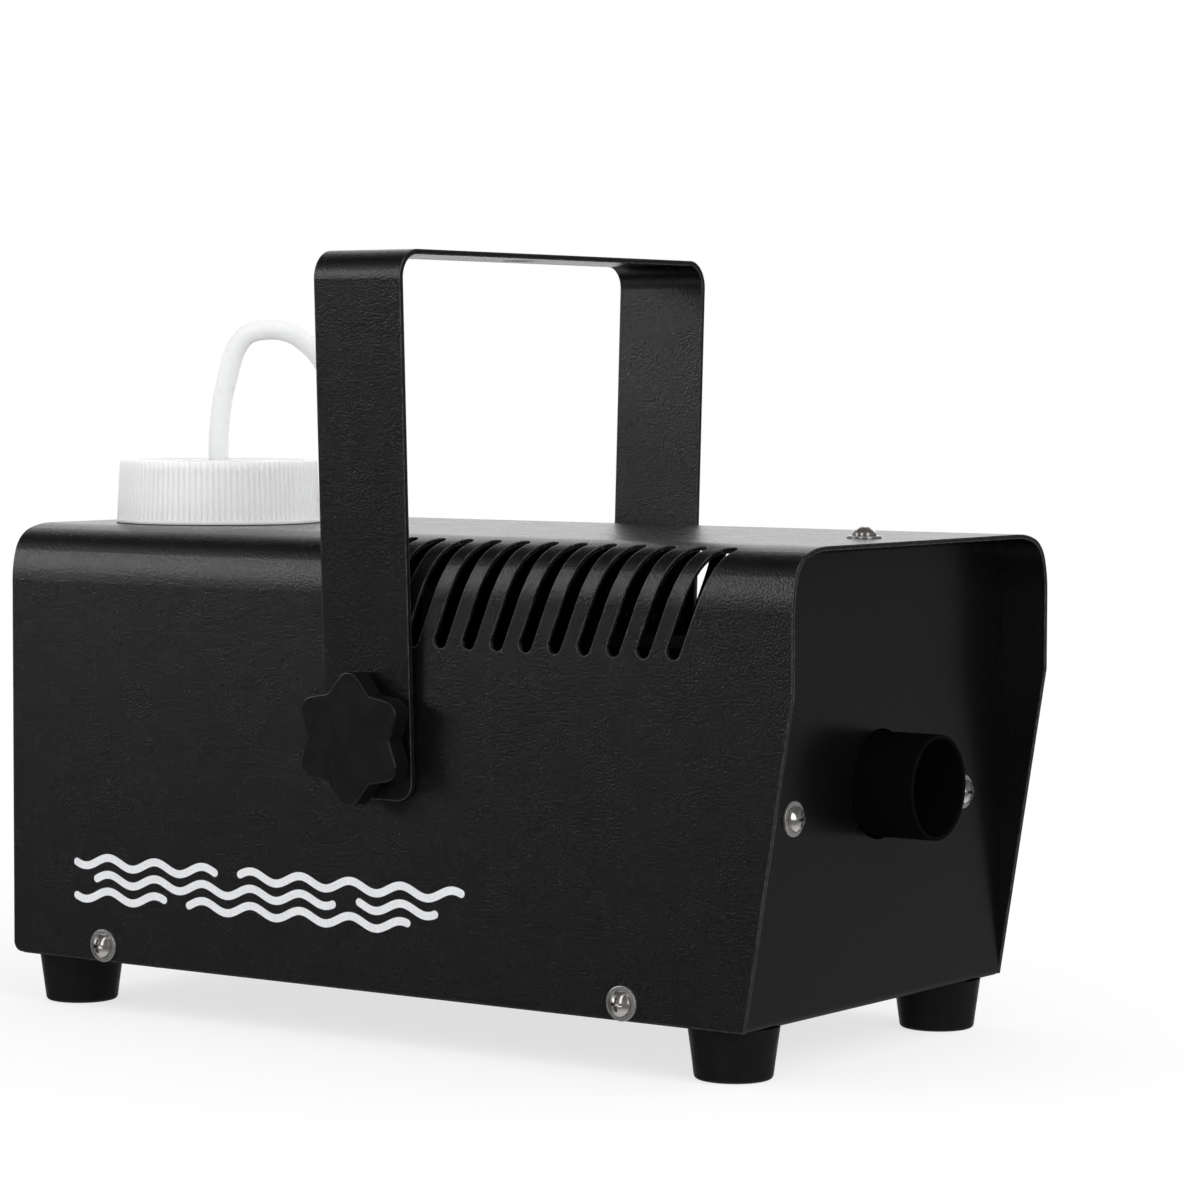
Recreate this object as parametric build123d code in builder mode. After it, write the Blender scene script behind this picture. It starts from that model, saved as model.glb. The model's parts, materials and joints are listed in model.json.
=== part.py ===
from build123d import *
import math
import os

# Small fog machine: folded casing, carrying handle, fluid bottle, pump, heater,
# electronics and wiring. Millimetres. +Z up, nozzle towards -Y, left is -X, origin
# on the floor under the middle of the footprint.

os.makedirs("parts", exist_ok=True)

# ---------------------------------------------------------------- casing sizes
SHEET = 1.0              # casing sheet thickness
COVER_W = 112.0
HALF = COVER_W / 2
COVER_TOP = 118.0        # top face of the cover
COVER_BOT = 12.3         # lower edge of the cover
CHASSIS_BOT = 11.9       # underside of the chassis, and top of the feet
CHASSIS_TOP = COVER_TOP - SHEET
FLOOR = CHASSIS_BOT + SHEET
COVER_REAR = 113.75      # rear edge of the cover
COVER_FRONT = -113.75    # front edge of the cover, upper part
KINK_Z = 85.8            # below this the front edge slopes back
FRONT_FOOT_Y = -101.8    # front edge of the cover at its lower corner
REAR_CORNER_R = 2.5      # lower rear corner of the cover

# The two long top bends ease in and out: a wide arc, a tight arc, a wide arc.
EASE_R, TIGHT_R = 24.0, 8.1      # outside radii
EASE_TURN = 18.0                 # degrees turned by each wide arc

PANEL_FRONT = -102.0     # outer face of the recessed front panel
PANEL_REAR = 112.8       # outer face of the rear panel
PANEL_INNER = PANEL_REAR - SHEET
PANEL_BEND = 1.6
CHASSIS_HALF = 54.8      # half width of the chassis
FLANGE_FRONT, FLANGE_REAR = -87.0, 103.3   # inner edges of the top flanges
CORNER_GAP = 0.2         # chassis to cover, at the bends
LIP_LEN, LIP_H, LIP_Y = 200, 12.5, 5

OVER_Y = 130             # cuts along Y run from -OVER_Y to OVER_Y
OVER_X = HALF + 5        # cuts across the cover run from -OVER_X to OVER_X

# ---------------------------------------------------------------- shared places
SCREW_R, HEAD_R, HEAD_H = 1.45, 2.8, 2.1
SHANK_LEN = 6
BITE_R = SCREW_R + 0.05  # hole a screw bites into
CLEAR_R = 1.7            # hole a screw passes through
NUT_R, NUT_H = 3.1, 2.4
WASHER_R, WASHER_T = 4.0, 0.6

SIDE_SCREW_Z = 16.05
SIDE_SCREWS = [(y, SIDE_SCREW_Z) for y in (-69.65, 84.0)]    # y, z
TOP_SCREWS = [(0, -97.3), (0, 108.0)]                        # x, y
FRONT_SCREWS = [(-37.0, 57.5), (37.0, 57.5)]                 # x, z
FOOT_XY = [(x, y) for y in (-91.4, 102.2) for x in (-44, 44)]

# screws in the floor, x and y
HEATER_FEET = [(-13, 10.5), (13, 10.5)]
CRADLE_FEET = [(-51, 70), (-51, 92)]
PUMP_FEET = [(20, 30), (20, 42)]
BOARD_XY = (30, 71)
BOARD_HOLES = [(BOARD_XY[0] + x, BOARD_XY[1] + y) for y in (-13, 13) for x in (-15, 15)]

PIVOT_Y, PIVOT_Z = 0.5, 71.7     # handle pivot
PIVOT = (PIVOT_Y, PIVOT_Z)
STUD_R = 3.0
STUD_HOLE_R = STUD_R + 0.3

NOZZLE_Z = 62.3
NOZZLE = (0, NOZZLE_Z)
PANEL_HOLE_R = 12.6

CAP_X, CAP_Y = -16.0, 81.3
CAP = (CAP_X, CAP_Y)
COVER_NECK_HOLE = 23.8
GROMMET_Y = 50.0
GROMMET_SEAT_R = 4.5

INLET_X, INLET_Z = 36.0, 41.0
INLET = (INLET_X, INLET_Z)
INLET_SCREWS = [(INLET_X, INLET_Z - 20), (INLET_X, INLET_Z + 20)]
INLET_FLANGE_T = 2.6
SWITCH_X, SWITCH_Z = 36.0, 86.0
SWITCH = (SWITCH_X, SWITCH_Z)
SOCKET_X, SOCKET_Z = 14.0, 84.0
SOCKET = (SOCKET_X, SOCKET_Z)
SOCKET_R = 7.5
LAMP = (14.0, 102.0)
LAMP_R = 3.0


# ---------------------------------------------------------------- helpers
def at_x(x):
    """Sketch plane at x, drawn in (y, z); positive extrusion goes towards +X."""
    return Plane.YZ.offset(x)


def at_y(y):
    """Sketch plane at y, drawn in (x, z); positive extrusion goes towards -Y."""
    return Plane.XZ.offset(-y)


def at_z(z):
    """Sketch plane at z, drawn in (x, y); positive extrusion goes towards +Z."""
    return Plane.XY.offset(z)


def ring(outer, inner):
    """Circle with a round hole, drawn in the current sketch."""
    Circle(outer)
    Circle(inner, mode=Mode.SUBTRACT)


def hex_ring(outer, inner):
    """Hexagon with a round hole, drawn in the current sketch."""
    RegularPolygon(outer, 6)
    Circle(inner, mode=Mode.SUBTRACT)


def mirrored(original):
    """The same piece on the other side of the machine."""
    with BuildPart() as piece:
        add(mirror(original, about=Plane.YZ, mode=Mode.PRIVATE))
    return piece.part


def bend_point(turn, inset):
    """Point (x, z) on the left bend after `turn` degrees from the flat side, on the
    surface lying `inset` inside the cover's outside face."""
    angle = math.radians(turn)
    first, last = math.radians(EASE_TURN), math.radians(90 - EASE_TURN)
    step = EASE_R - TIGHT_R
    size = (
        EASE_R * math.sin(first)
        + TIGHT_R * (math.sin(last) - math.sin(first))
        + EASE_R * (1 - math.sin(last))
    )
    x, z, radius = -HALF + EASE_R, COVER_TOP - size, EASE_R   # centre of the current arc
    if turn > EASE_TURN:
        x, z, radius = x - step * math.cos(first), z + step * math.sin(first), TIGHT_R
    if turn > 90 - EASE_TURN:
        x, z, radius = x + step * math.cos(last), z - step * math.sin(last), EASE_R
    return (x - (radius - inset) * math.cos(angle), z + (radius - inset) * math.sin(angle))


def hood_outline(inset):
    """Closed section of the hood across the machine, down to z = 0."""
    turns = (0, EASE_TURN / 2, EASE_TURN, 45, 90 - EASE_TURN, 90 - EASE_TURN / 2, 90)
    left = [bend_point(turn, inset) for turn in turns]
    right = [(-x, z) for x, z in left]
    Line((left[0][0], 0), left[0])
    for i in (0, 2, 4):
        ThreePointArc(left[i], left[i + 1], left[i + 2])
    Line(left[6], right[6])
    for i in (6, 4, 2):
        ThreePointArc(right[i], right[i - 1], right[i - 2])
    Line(right[0], (right[0][0], 0))
    Line((right[0][0], 0), (left[0][0], 0))


# ---------------------------------------------------------------- top cover
SLOT_COUNT = 12
SLOT_PITCH = 8.0
SLOT_W = 3.7
SLOT_SLANT = 22.0                # degrees from vertical, leaning forward going up
SLOT_Y0, SLOT_Z0 = -82.92, 94.55   # centre of the front slot's lower end
SLOT_END = 69.0                  # how far round the bend the upper end's centre is
SLOT_WRAP_R = 10.0               # mean radius the slots are wrapped round
SLOT_CUT = 5.0                   # depth of the cutter through the sheet
WRAP_STEPS = 7


def slot_cutter():
    """Front left vent slot as a solid: straight through the flat side, then wrapped
    round the bend so it stays one straight slot in the flat sheet."""
    half_y = SLOT_W / 2 / math.cos(math.radians(SLOT_SLANT))
    slope = math.tan(math.radians(SLOT_SLANT))
    wrap_x, wrap_z = -(HALF - SLOT_WRAP_R), COVER_TOP - SLOT_WRAP_R
    y_tangent = SLOT_Y0 - slope * (wrap_z - SLOT_Z0)
    with BuildPart() as piece:
        with BuildSketch(at_x(-HALF + SHEET + 1.5)):
            with BuildLine():
                Polyline(
                    (SLOT_Y0 - half_y, SLOT_Z0), (SLOT_Y0 + half_y, SLOT_Z0),
                    (y_tangent + half_y, wrap_z), (y_tangent - half_y, wrap_z),
                    close=True,
                )
            make_face()
            with Locations((SLOT_Y0, SLOT_Z0)):
                Circle(SLOT_W / 2)
        extrude(amount=-SLOT_CUT)
        for i in range(WRAP_STEPS + 1):
            angle = math.radians(SLOT_END * i / WRAP_STEPS)
            section = Plane(
                origin=(wrap_x, y_tangent - slope * SLOT_WRAP_R * angle, wrap_z),
                x_dir=(0, 1, 0),
                z_dir=(math.sin(angle), 0, math.cos(angle)),
            )
            with BuildSketch(section), Locations((0, SLOT_WRAP_R - 0.5)):
                Rectangle(2 * half_y, SLOT_CUT)
        loft()
        # round upper end
        angle = math.radians(SLOT_END)
        start_r = SLOT_WRAP_R - 3.0
        end_plane = Plane(
            origin=(
                wrap_x - start_r * math.cos(angle),
                y_tangent - slope * SLOT_WRAP_R * angle,
                wrap_z + start_r * math.sin(angle),
            ),
            x_dir=(0, 1, 0),
            z_dir=(-math.cos(angle), 0, math.sin(angle)),
        )
        with BuildSketch(end_plane):
            Circle(SLOT_W / 2)
        extrude(amount=SLOT_CUT)
    return piece.part


def top_cover():
    cutter = slot_cutter()
    with BuildPart() as piece:
        # side profile, cut to the hood section and hollowed
        with BuildSketch(Plane.YZ):
            with BuildLine():
                Polyline(
                    (FRONT_FOOT_Y, COVER_BOT), (COVER_REAR, COVER_BOT),
                    (COVER_REAR, COVER_TOP), (COVER_FRONT, COVER_TOP),
                    (COVER_FRONT, KINK_Z),
                    close=True,
                )
            make_face()
            fillet(vertices().group_by(Axis.X)[-1].sort_by(Axis.Y)[0], REAR_CORNER_R)
        extrude(amount=HALF, both=True)
        for inset, mode in ((0, Mode.INTERSECT), (SHEET, Mode.SUBTRACT)):
            with BuildSketch(at_y(-OVER_Y)):
                with BuildLine():
                    hood_outline(inset)
                make_face()
            extrude(amount=-2 * OVER_Y, mode=mode)
        # side screw holes and handle pivot holes
        with BuildSketch(at_x(-OVER_X)):
            with Locations(*SIDE_SCREWS):
                Circle(CLEAR_R)
            with Locations(PIVOT):
                Circle(STUD_HOLE_R)
        extrude(amount=2 * OVER_X, mode=Mode.SUBTRACT)
        # holes in the top: screws, bottle neck, tube grommet
        with BuildSketch(at_z(COVER_TOP - 5)):
            with Locations(*TOP_SCREWS):
                Circle(CLEAR_R)
            with Locations(CAP):
                Circle(COVER_NECK_HOLE)
            with Locations((0, GROMMET_Y)):
                Circle(GROMMET_SEAT_R)
        extrude(amount=10, mode=Mode.SUBTRACT)
        # vent slots on both long bends
        for i in range(SLOT_COUNT):
            with Locations((0, i * SLOT_PITCH, 0)):
                add(cutter, mode=Mode.SUBTRACT)
                add(mirror(cutter, about=Plane.YZ, mode=Mode.PRIVATE), mode=Mode.SUBTRACT)
    return piece.part


# ---------------------------------------------------------------- chassis
VENT_COUNT, VENT_PITCH = 6, 6.0
VENT_X0, VENT_Z = -44, 38        # leftmost low vent
VENT_LEN, VENT_W = 26, 2.6


def chassis():
    """Floor, front and rear panels and top flanges, folded from one sheet."""
    middle = ((PANEL_FRONT + PANEL_REAR) / 2, (CHASSIS_BOT + CHASSIS_TOP) / 2)
    length, height = PANEL_REAR - PANEL_FRONT, CHASSIS_TOP - CHASSIS_BOT
    with BuildPart() as piece:
        with BuildSketch(Plane.YZ):
            with Locations(middle):
                Rectangle(length, height)
            fillet(vertices(), PANEL_BEND)
        extrude(amount=CHASSIS_HALF, both=True)
        with BuildSketch(Plane.YZ):
            with Locations(middle):
                Rectangle(length - 2 * SHEET, height - 2 * SHEET)
            fillet(vertices(), PANEL_BEND - SHEET)
        extrude(amount=CHASSIS_HALF + 5, both=True, mode=Mode.SUBTRACT)
        # open top between the two flanges
        with BuildSketch(Plane.YZ), Locations(((FLANGE_FRONT + FLANGE_REAR) / 2, CHASSIS_TOP)):
            Rectangle(FLANGE_REAR - FLANGE_FRONT, 6)
        extrude(amount=CHASSIS_HALF + 5, both=True, mode=Mode.SUBTRACT)
        # Upper corners follow the cover's inside bend. The section is raised by the
        # gap so that the flanges still reach the cover's top.
        section = Plane(origin=(0, -OVER_Y, CORNER_GAP), x_dir=(1, 0, 0), z_dir=(0, -1, 0))
        with BuildSketch(section):
            with BuildLine():
                hood_outline(SHEET + CORNER_GAP)
            make_face()
        extrude(amount=-2 * OVER_Y, mode=Mode.INTERSECT)
        # side lips the cover screws bite into
        lip_x = CHASSIS_HALF - SHEET / 2
        with Locations(*[(x, LIP_Y, FLOOR + LIP_H / 2) for x in (-lip_x, lip_x)]):
            Box(SHEET, LIP_LEN, LIP_H)
        with BuildSketch(at_x(-OVER_X)), Locations(*SIDE_SCREWS):
            Circle(BITE_R)
        extrude(amount=2 * OVER_X, mode=Mode.SUBTRACT)
        # flanges: top screw holes, room for the bottle neck
        with BuildSketch(at_z(CHASSIS_TOP - 4)):
            with Locations(*TOP_SCREWS):
                Circle(BITE_R)
            with Locations(CAP):
                Circle(COVER_NECK_HOLE)
        extrude(amount=10, mode=Mode.SUBTRACT)
        # floor: foot screws, bracket screws and board standoffs
        with BuildSketch(at_z(CHASSIS_BOT - 2)):
            with Locations(*FOOT_XY):
                Circle(CLEAR_R)
            with Locations(*HEATER_FEET, *CRADLE_FEET, *PUMP_FEET):
                Circle(BITE_R)
            with Locations(*BOARD_HOLES):
                Circle(BITE_R)
        extrude(amount=5, mode=Mode.SUBTRACT)
        # front panel: nozzle hole and two screws
        with BuildSketch(at_y(PANEL_FRONT - 3)):
            with Locations(NOZZLE):
                Circle(PANEL_HOLE_R)
            with Locations(*FRONT_SCREWS):
                Circle(BITE_R)
        extrude(amount=-8, mode=Mode.SUBTRACT)
        # rear panel: inlet, switch, socket, lamp and low vents
        with BuildSketch(at_y(PANEL_REAR + 3)):
            with Locations(INLET):
                RectangleRounded(31.2, 27.6, 1.5)
            with Locations(*INLET_SCREWS):
                Circle(CLEAR_R)
            with Locations(SWITCH):
                Rectangle(13.0, 19.0)
            with Locations(SOCKET):
                Circle(SOCKET_R + 0.1)
            with Locations(LAMP):
                Circle(LAMP_R + 0.05)
            with Locations(*[(VENT_X0 + VENT_PITCH * k, VENT_Z) for k in range(VENT_COUNT)]):
                SlotOverall(VENT_LEN, VENT_W, rotation=90)
        extrude(amount=8, mode=Mode.SUBTRACT)
    return piece.part


# ---------------------------------------------------------------- fasteners
RECESS_LEN, RECESS_W = 3.2, 0.75

# Casing screws: where the washer lies, how it is turned, which way the head points.
CASING_SPOTS = (
    [((-HALF, y, z), (0, -90, 0), (-1, 0, 0)) for y, z in SIDE_SCREWS]
    + [((HALF, y, z), (0, 90, 0), (1, 0, 0)) for y, z in SIDE_SCREWS]
    + [((x, y, COVER_TOP), (0, 0, 0), (0, 0, 1)) for x, y in TOP_SCREWS]
    + [((x, PANEL_FRONT, z), (90, 0, 0), (0, -1, 0)) for x, z in FRONT_SCREWS]
)


def pan_screw():
    """Pan-head screw, underside of the head at z = 0, head towards +Z, cross recess."""
    with BuildPart() as piece:
        with BuildSketch(Plane.XZ):
            with BuildLine():
                Polyline(
                    (0, -SHANK_LEN), (SCREW_R, -SHANK_LEN), (SCREW_R, 0),
                    (HEAD_R, 0), (HEAD_R, 0.7),
                )
                ThreePointArc((HEAD_R, 0.7), (1.6, 1.713), (0, HEAD_H))
                Line((0, HEAD_H), (0, -SHANK_LEN))
            make_face()
        revolve(axis=Axis.Z)
        with BuildSketch(at_z(0.75)):
            Rectangle(RECESS_LEN, RECESS_W)
            Rectangle(RECESS_W, RECESS_LEN)
        extrude(amount=3, mode=Mode.SUBTRACT)
    return piece.part


def short_screw():
    """Pan screw with its shank cut to 2.5."""
    screw = pan_screw()
    with BuildPart() as piece:
        add(screw)
        with BuildSketch(at_z(-2.5)):
            Circle(3)
        extrude(amount=-8, mode=Mode.SUBTRACT)
    return piece.part


def flat_washer():
    with BuildPart() as piece:
        with BuildSketch():
            ring(WASHER_R, 1.6)
        extrude(amount=WASHER_T)
        fillet(faces().sort_by(Axis.Z)[-1].outer_wire().edges(), 0.2)
    return piece.part


def hex_nut():
    with BuildPart() as piece:
        with BuildSketch():
            hex_ring(NUT_R, BITE_R)
        extrude(amount=NUT_H)
    return piece.part


def casing_washers():
    washer = flat_washer()
    with BuildPart() as piece:
        with Locations(*[Location(place, turn) for place, turn, out in CASING_SPOTS]):
            add(washer)
    return piece.part


def casing_screws():
    screw = pan_screw()
    on_washers = [
        Location(tuple(p + WASHER_T * o for p, o in zip(place, out)), turn)
        for place, turn, out in CASING_SPOTS
    ]
    flange_y = PANEL_REAR + INLET_FLANGE_T
    with BuildPart() as piece:
        with Locations(*on_washers):
            add(screw)
        with Locations(*[Location((x, flange_y, z), (-90, 0, 0)) for x, z in INLET_SCREWS]):
            add(screw)
    return piece.part


def m3_nuts():
    """Nuts on the foot screws and on the power inlet's screws."""
    nut = hex_nut()
    with BuildPart() as piece:
        with Locations(*[(x, y, FLOOR) for x, y in FOOT_XY]):
            add(nut)
        with Locations(*[Location((x, PANEL_INNER, z), (90, 0, 0)) for x, z in INLET_SCREWS]):
            add(nut)
    return piece.part


# ---------------------------------------------------------------- feet
FOOT_TOP_R, FOOT_BOT_R, FOOT_H = 10.35, 8.75, CHASSIS_BOT
FOOT_WELL_R, FOOT_WELL_Z = 4.6, 6.5    # pocket for the screw head, from below
FOOT_BORE_R = 1.8


def foot():
    with BuildPart() as piece:
        with BuildSketch(Plane.XZ):
            with BuildLine():
                Polyline(
                    (FOOT_BORE_R, FOOT_H), (FOOT_TOP_R, FOOT_H), (FOOT_BOT_R, 0),
                    (FOOT_WELL_R, 0), (FOOT_WELL_R, FOOT_WELL_Z), (FOOT_BORE_R, FOOT_WELL_Z),
                    close=True,
                )
            make_face()
        revolve(axis=Axis.Z)
        fillet(edges().group_by(Axis.Z)[0].sort_by(SortBy.LENGTH)[-1], 1.0)
    return piece.part


def rubber_feet():
    one_foot = foot()
    with BuildPart() as piece:
        with Locations(*[(x, y, 0) for x, y in FOOT_XY]):
            add(one_foot)
    return piece.part


def foot_screws():
    """Heads down in the feet; a cylinder lengthens each shank through the nut."""
    screw = pan_screw()
    with BuildPart() as piece:
        with Locations(*[Location((x, y, FOOT_WELL_Z), (180, 0, 0)) for x, y in FOOT_XY]):
            add(screw)
        with Locations(*[(x, y, 12.0) for x, y in FOOT_XY]):
            Cylinder(SCREW_R, 5.0, align=(Align.CENTER, Align.CENTER, Align.MIN))
    return piece.part


# ---------------------------------------------------------------- handle
STRAP_W, STRAP_T = 25.0, 1.2
STRAP_TOP = 183.4
STRAP_LOW = 57.2
STRAP_X = 58.05          # outer face at pivot height
STRAP_SPLAY = 2.2        # degrees
STRAP_BEND = 6.5
STRAP_CORNER = 4.5       # lower corners of the arms
HANG_R = 4.0             # hole in the middle of the grip

KNOB_TIP, KNOB_VALLEY = 15.4, 11.85
KNOB_FLANK = 40.0        # angle between a lobe's straight flank and its middle line
KNOB_IN, KNOB_BACK, KNOB_OUT = 58.45, 60.2, 65.4   # hub face, back and front of the lobes
KNOB_HUB_R = 8.0
KNOB_SOCKET = 4.0        # depth of the stud in the knob
STUD_END = 47.0          # inner end of the stud
PIVOT_WASHER_X = 56.6    # outer face of the pivot washer


def handle_bracket():
    splay = math.tan(math.radians(STRAP_SPLAY))
    x_low = STRAP_X - (PIVOT_Z - STRAP_LOW) * splay
    x_high = STRAP_X + (STRAP_TOP - PIVOT_Z) * splay
    x_low_in = x_low - STRAP_T - 10 * splay       # inside face, 10 below the arms' ends
    x_high_in = x_high - STRAP_T - STRAP_T * splay
    with BuildPart() as piece:
        with BuildSketch(at_y(PIVOT_Y)):
            with BuildLine():
                Polyline(
                    (-x_low, STRAP_LOW), (x_low, STRAP_LOW),
                    (x_high, STRAP_TOP), (-x_high, STRAP_TOP),
                    close=True,
                )
            make_face()
            fillet(vertices().group_by(Axis.Y)[-1], STRAP_BEND)
        extrude(amount=STRAP_W / 2, both=True)
        with BuildSketch(at_y(PIVOT_Y)):
            with BuildLine():
                Polyline(
                    (-x_low_in, STRAP_LOW - 10), (x_low_in, STRAP_LOW - 10),
                    (x_high_in, STRAP_TOP - STRAP_T), (-x_high_in, STRAP_TOP - STRAP_T),
                    close=True,
                )
            make_face()
            fillet(vertices().group_by(Axis.Y)[-1], STRAP_BEND - STRAP_T)
        extrude(amount=STRAP_W, both=True, mode=Mode.SUBTRACT)
        # rounded lower corners on both arms
        with BuildSketch(Plane.YZ):
            with Locations((PIVOT_Y, (STRAP_LOW + STRAP_TOP + 10) / 2)):
                Rectangle(STRAP_W, STRAP_TOP + 10 - STRAP_LOW)
            fillet(vertices().group_by(Axis.Y)[0], STRAP_CORNER)
        extrude(amount=80, both=True, mode=Mode.INTERSECT)
        with BuildSketch(at_x(-80)), Locations(PIVOT):
            Circle(STUD_HOLE_R)
        extrude(amount=160, mode=Mode.SUBTRACT)
        with BuildSketch(at_z(STRAP_TOP - 5)), Locations((0, PIVOT_Y)):
            Circle(HANG_R)
        extrude(amount=10, mode=Mode.SUBTRACT)
    return piece.part


def knob_left():
    """Star knob: six lobes with straight flanks and round tips, one pointing up."""
    flank = math.radians(KNOB_FLANK)
    # where a lobe's flanks would meet, and the radius that rounds them to the tip
    apex = KNOB_VALLEY * (math.cos(math.pi / 6) + math.sin(math.pi / 6) / math.tan(flank))
    tip_round = (apex - KNOB_TIP) / (1 / math.sin(flank) - 1)
    star = []
    for k in range(12):
        angle = math.pi / 2 + math.pi * k / 6
        radius = KNOB_VALLEY if k % 2 else apex
        star.append((radius * math.cos(angle), radius * math.sin(angle)))
    front = Plane(origin=(-KNOB_OUT, PIVOT_Y, PIVOT_Z), x_dir=(0, 1, 0), z_dir=(1, 0, 0))
    with BuildPart() as piece:
        with BuildSketch(front):
            Polygon(*star, align=None)
            tips = [p for p in vertices() if math.hypot(p.X, p.Y) > KNOB_TIP]
            fillet(tips, tip_round)
            valleys = [p for p in vertices() if math.hypot(p.X, p.Y) < KNOB_VALLEY + 0.1]
            fillet(valleys, 0.9)
        extrude(amount=KNOB_OUT - KNOB_BACK)
        fillet(faces().sort_by(Axis.X)[0].outer_wire().edges(), 0.5)
        fillet(faces().sort_by(Axis.X)[-1].outer_wire().edges(), 0.4)
        with BuildSketch(at_x(-KNOB_IN)), Locations(PIVOT):
            Circle(KNOB_HUB_R)
        extrude(amount=-(KNOB_BACK - KNOB_IN + 1))
        with BuildSketch(at_x(-KNOB_IN)), Locations(PIVOT):
            Circle(STUD_R)
        extrude(amount=-KNOB_SOCKET, mode=Mode.SUBTRACT)
    return piece.part


def knob_right():
    return mirrored(knob_left())


def knob_stud_left():
    with BuildPart() as piece:
        with BuildSketch(at_x(-KNOB_IN - KNOB_SOCKET)), Locations(PIVOT):
            Circle(STUD_R)
        extrude(amount=KNOB_IN + KNOB_SOCKET - STUD_END)
        chamfer(faces().sort_by(Axis.X)[-1].edges(), 0.5)
    return piece.part


def knob_stud_right():
    return mirrored(knob_stud_left())


def pivot_washers():
    with BuildPart() as piece:
        with BuildSketch(at_x(-PIVOT_WASHER_X)), Locations(PIVOT):
            ring(6.0, STUD_R + 0.1)
        extrude(amount=PIVOT_WASHER_X - HALF)
        mirror(about=Plane.YZ)
    return piece.part


def pivot_nuts():
    with BuildPart() as piece:
        with BuildSketch(at_x(-(HALF - SHEET))), Locations(PIVOT):
            hex_ring(6.0, STUD_R + 0.05)
        extrude(amount=5.0)
        mirror(about=Plane.YZ)
    return piece.part


# ---------------------------------------------------------------- bottle and cap
BOTTLE_XY = (-20.0, 81.0)
BOTTLE_W, BOTTLE_D, BOTTLE_CORNER = 56, 46, 12
BOTTLE_WALL = 1.5
BOTTLE_BASE, SHOULDER_Z, NECK_Z = 20, 96, 106   # bottom, start and end of the shoulder
NECK_R, NECK_WALL, NECK_H = 22.0, 1.7, 25
BEAD_H, BEAD_OUT = 1.4, 1.3      # the two rings round the neck

CAP_LOW, CAP_TOP = 118.15, 133.6
CAP_R_LOW, CAP_R_TOP = 25.4, 24.6
CAP_BORE_R = 23.6
CAP_ROOF = 1.6                   # thickness of the cap's top
CAP_CHAMFER = 0.5
TUBE_HOLE_R = 2.6                # hole for the intake tube
SEAL_R, SEAL_LOW = 22.8, 131


def fluid_bottle():
    inner_w, inner_d = BOTTLE_W - 2 * BOTTLE_WALL, BOTTLE_D - 2 * BOTTLE_WALL
    inner_corner = BOTTLE_CORNER - BOTTLE_WALL
    with BuildPart() as piece:
        with BuildSketch(at_z(BOTTLE_BASE)), Locations(BOTTLE_XY):
            RectangleRounded(BOTTLE_W, BOTTLE_D, BOTTLE_CORNER)
        extrude(amount=SHOULDER_Z - BOTTLE_BASE)
        fillet(faces().sort_by(Axis.Z)[0].edges(), 3)
        with BuildSketch(at_z(SHOULDER_Z)), Locations(BOTTLE_XY):
            RectangleRounded(BOTTLE_W, BOTTLE_D, BOTTLE_CORNER)
        with BuildSketch(at_z(NECK_Z)), Locations(CAP):
            Circle(NECK_R)
        loft()
        with BuildSketch(at_z(NECK_Z)), Locations(CAP):
            Circle(NECK_R)
        extrude(amount=NECK_H)
        with BuildSketch(at_z(121), at_z(125.5)), Locations(CAP):
            Circle(NECK_R + BEAD_OUT)
        extrude(amount=BEAD_H)
        # inside
        with BuildSketch(at_z(BOTTLE_BASE + BOTTLE_WALL)), Locations(BOTTLE_XY):
            RectangleRounded(inner_w, inner_d, inner_corner)
        extrude(amount=SHOULDER_Z - BOTTLE_BASE - BOTTLE_WALL, mode=Mode.SUBTRACT)
        with BuildSketch(at_z(SHOULDER_Z)), Locations(BOTTLE_XY):
            RectangleRounded(inner_w, inner_d, inner_corner)
        with BuildSketch(at_z(NECK_Z)), Locations(CAP):
            Circle(NECK_R - NECK_WALL)
        loft(mode=Mode.SUBTRACT)
        with BuildSketch(at_z(NECK_Z)), Locations(CAP):
            Circle(NECK_R - NECK_WALL)
        extrude(amount=NECK_H + 5, mode=Mode.SUBTRACT)
    return piece.part


def bottle_cap():
    # half section: radius, z
    profile = (
        (TUBE_HOLE_R, CAP_TOP), (CAP_R_TOP - CAP_CHAMFER, CAP_TOP),
        (CAP_R_TOP, CAP_TOP - CAP_CHAMFER), (CAP_R_LOW, CAP_LOW), (CAP_BORE_R, CAP_LOW),
        (CAP_BORE_R, CAP_TOP - CAP_ROOF), (TUBE_HOLE_R, CAP_TOP - CAP_ROOF),
    )
    with BuildPart() as piece:
        with BuildSketch(at_y(CAP_Y)):
            with BuildLine():
                Polyline(*[(CAP_X + radius, z) for radius, z in profile], close=True)
            make_face()
        revolve(axis=Axis((CAP_X, CAP_Y, 0), (0, 0, 1)))
    return piece.part


def cap_seal():
    with BuildPart() as piece:
        with BuildSketch(at_z(SEAL_LOW)), Locations(CAP):
            ring(SEAL_R, TUBE_HOLE_R)
        extrude(amount=CAP_TOP - CAP_ROOF - SEAL_LOW)
    return piece.part


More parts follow.
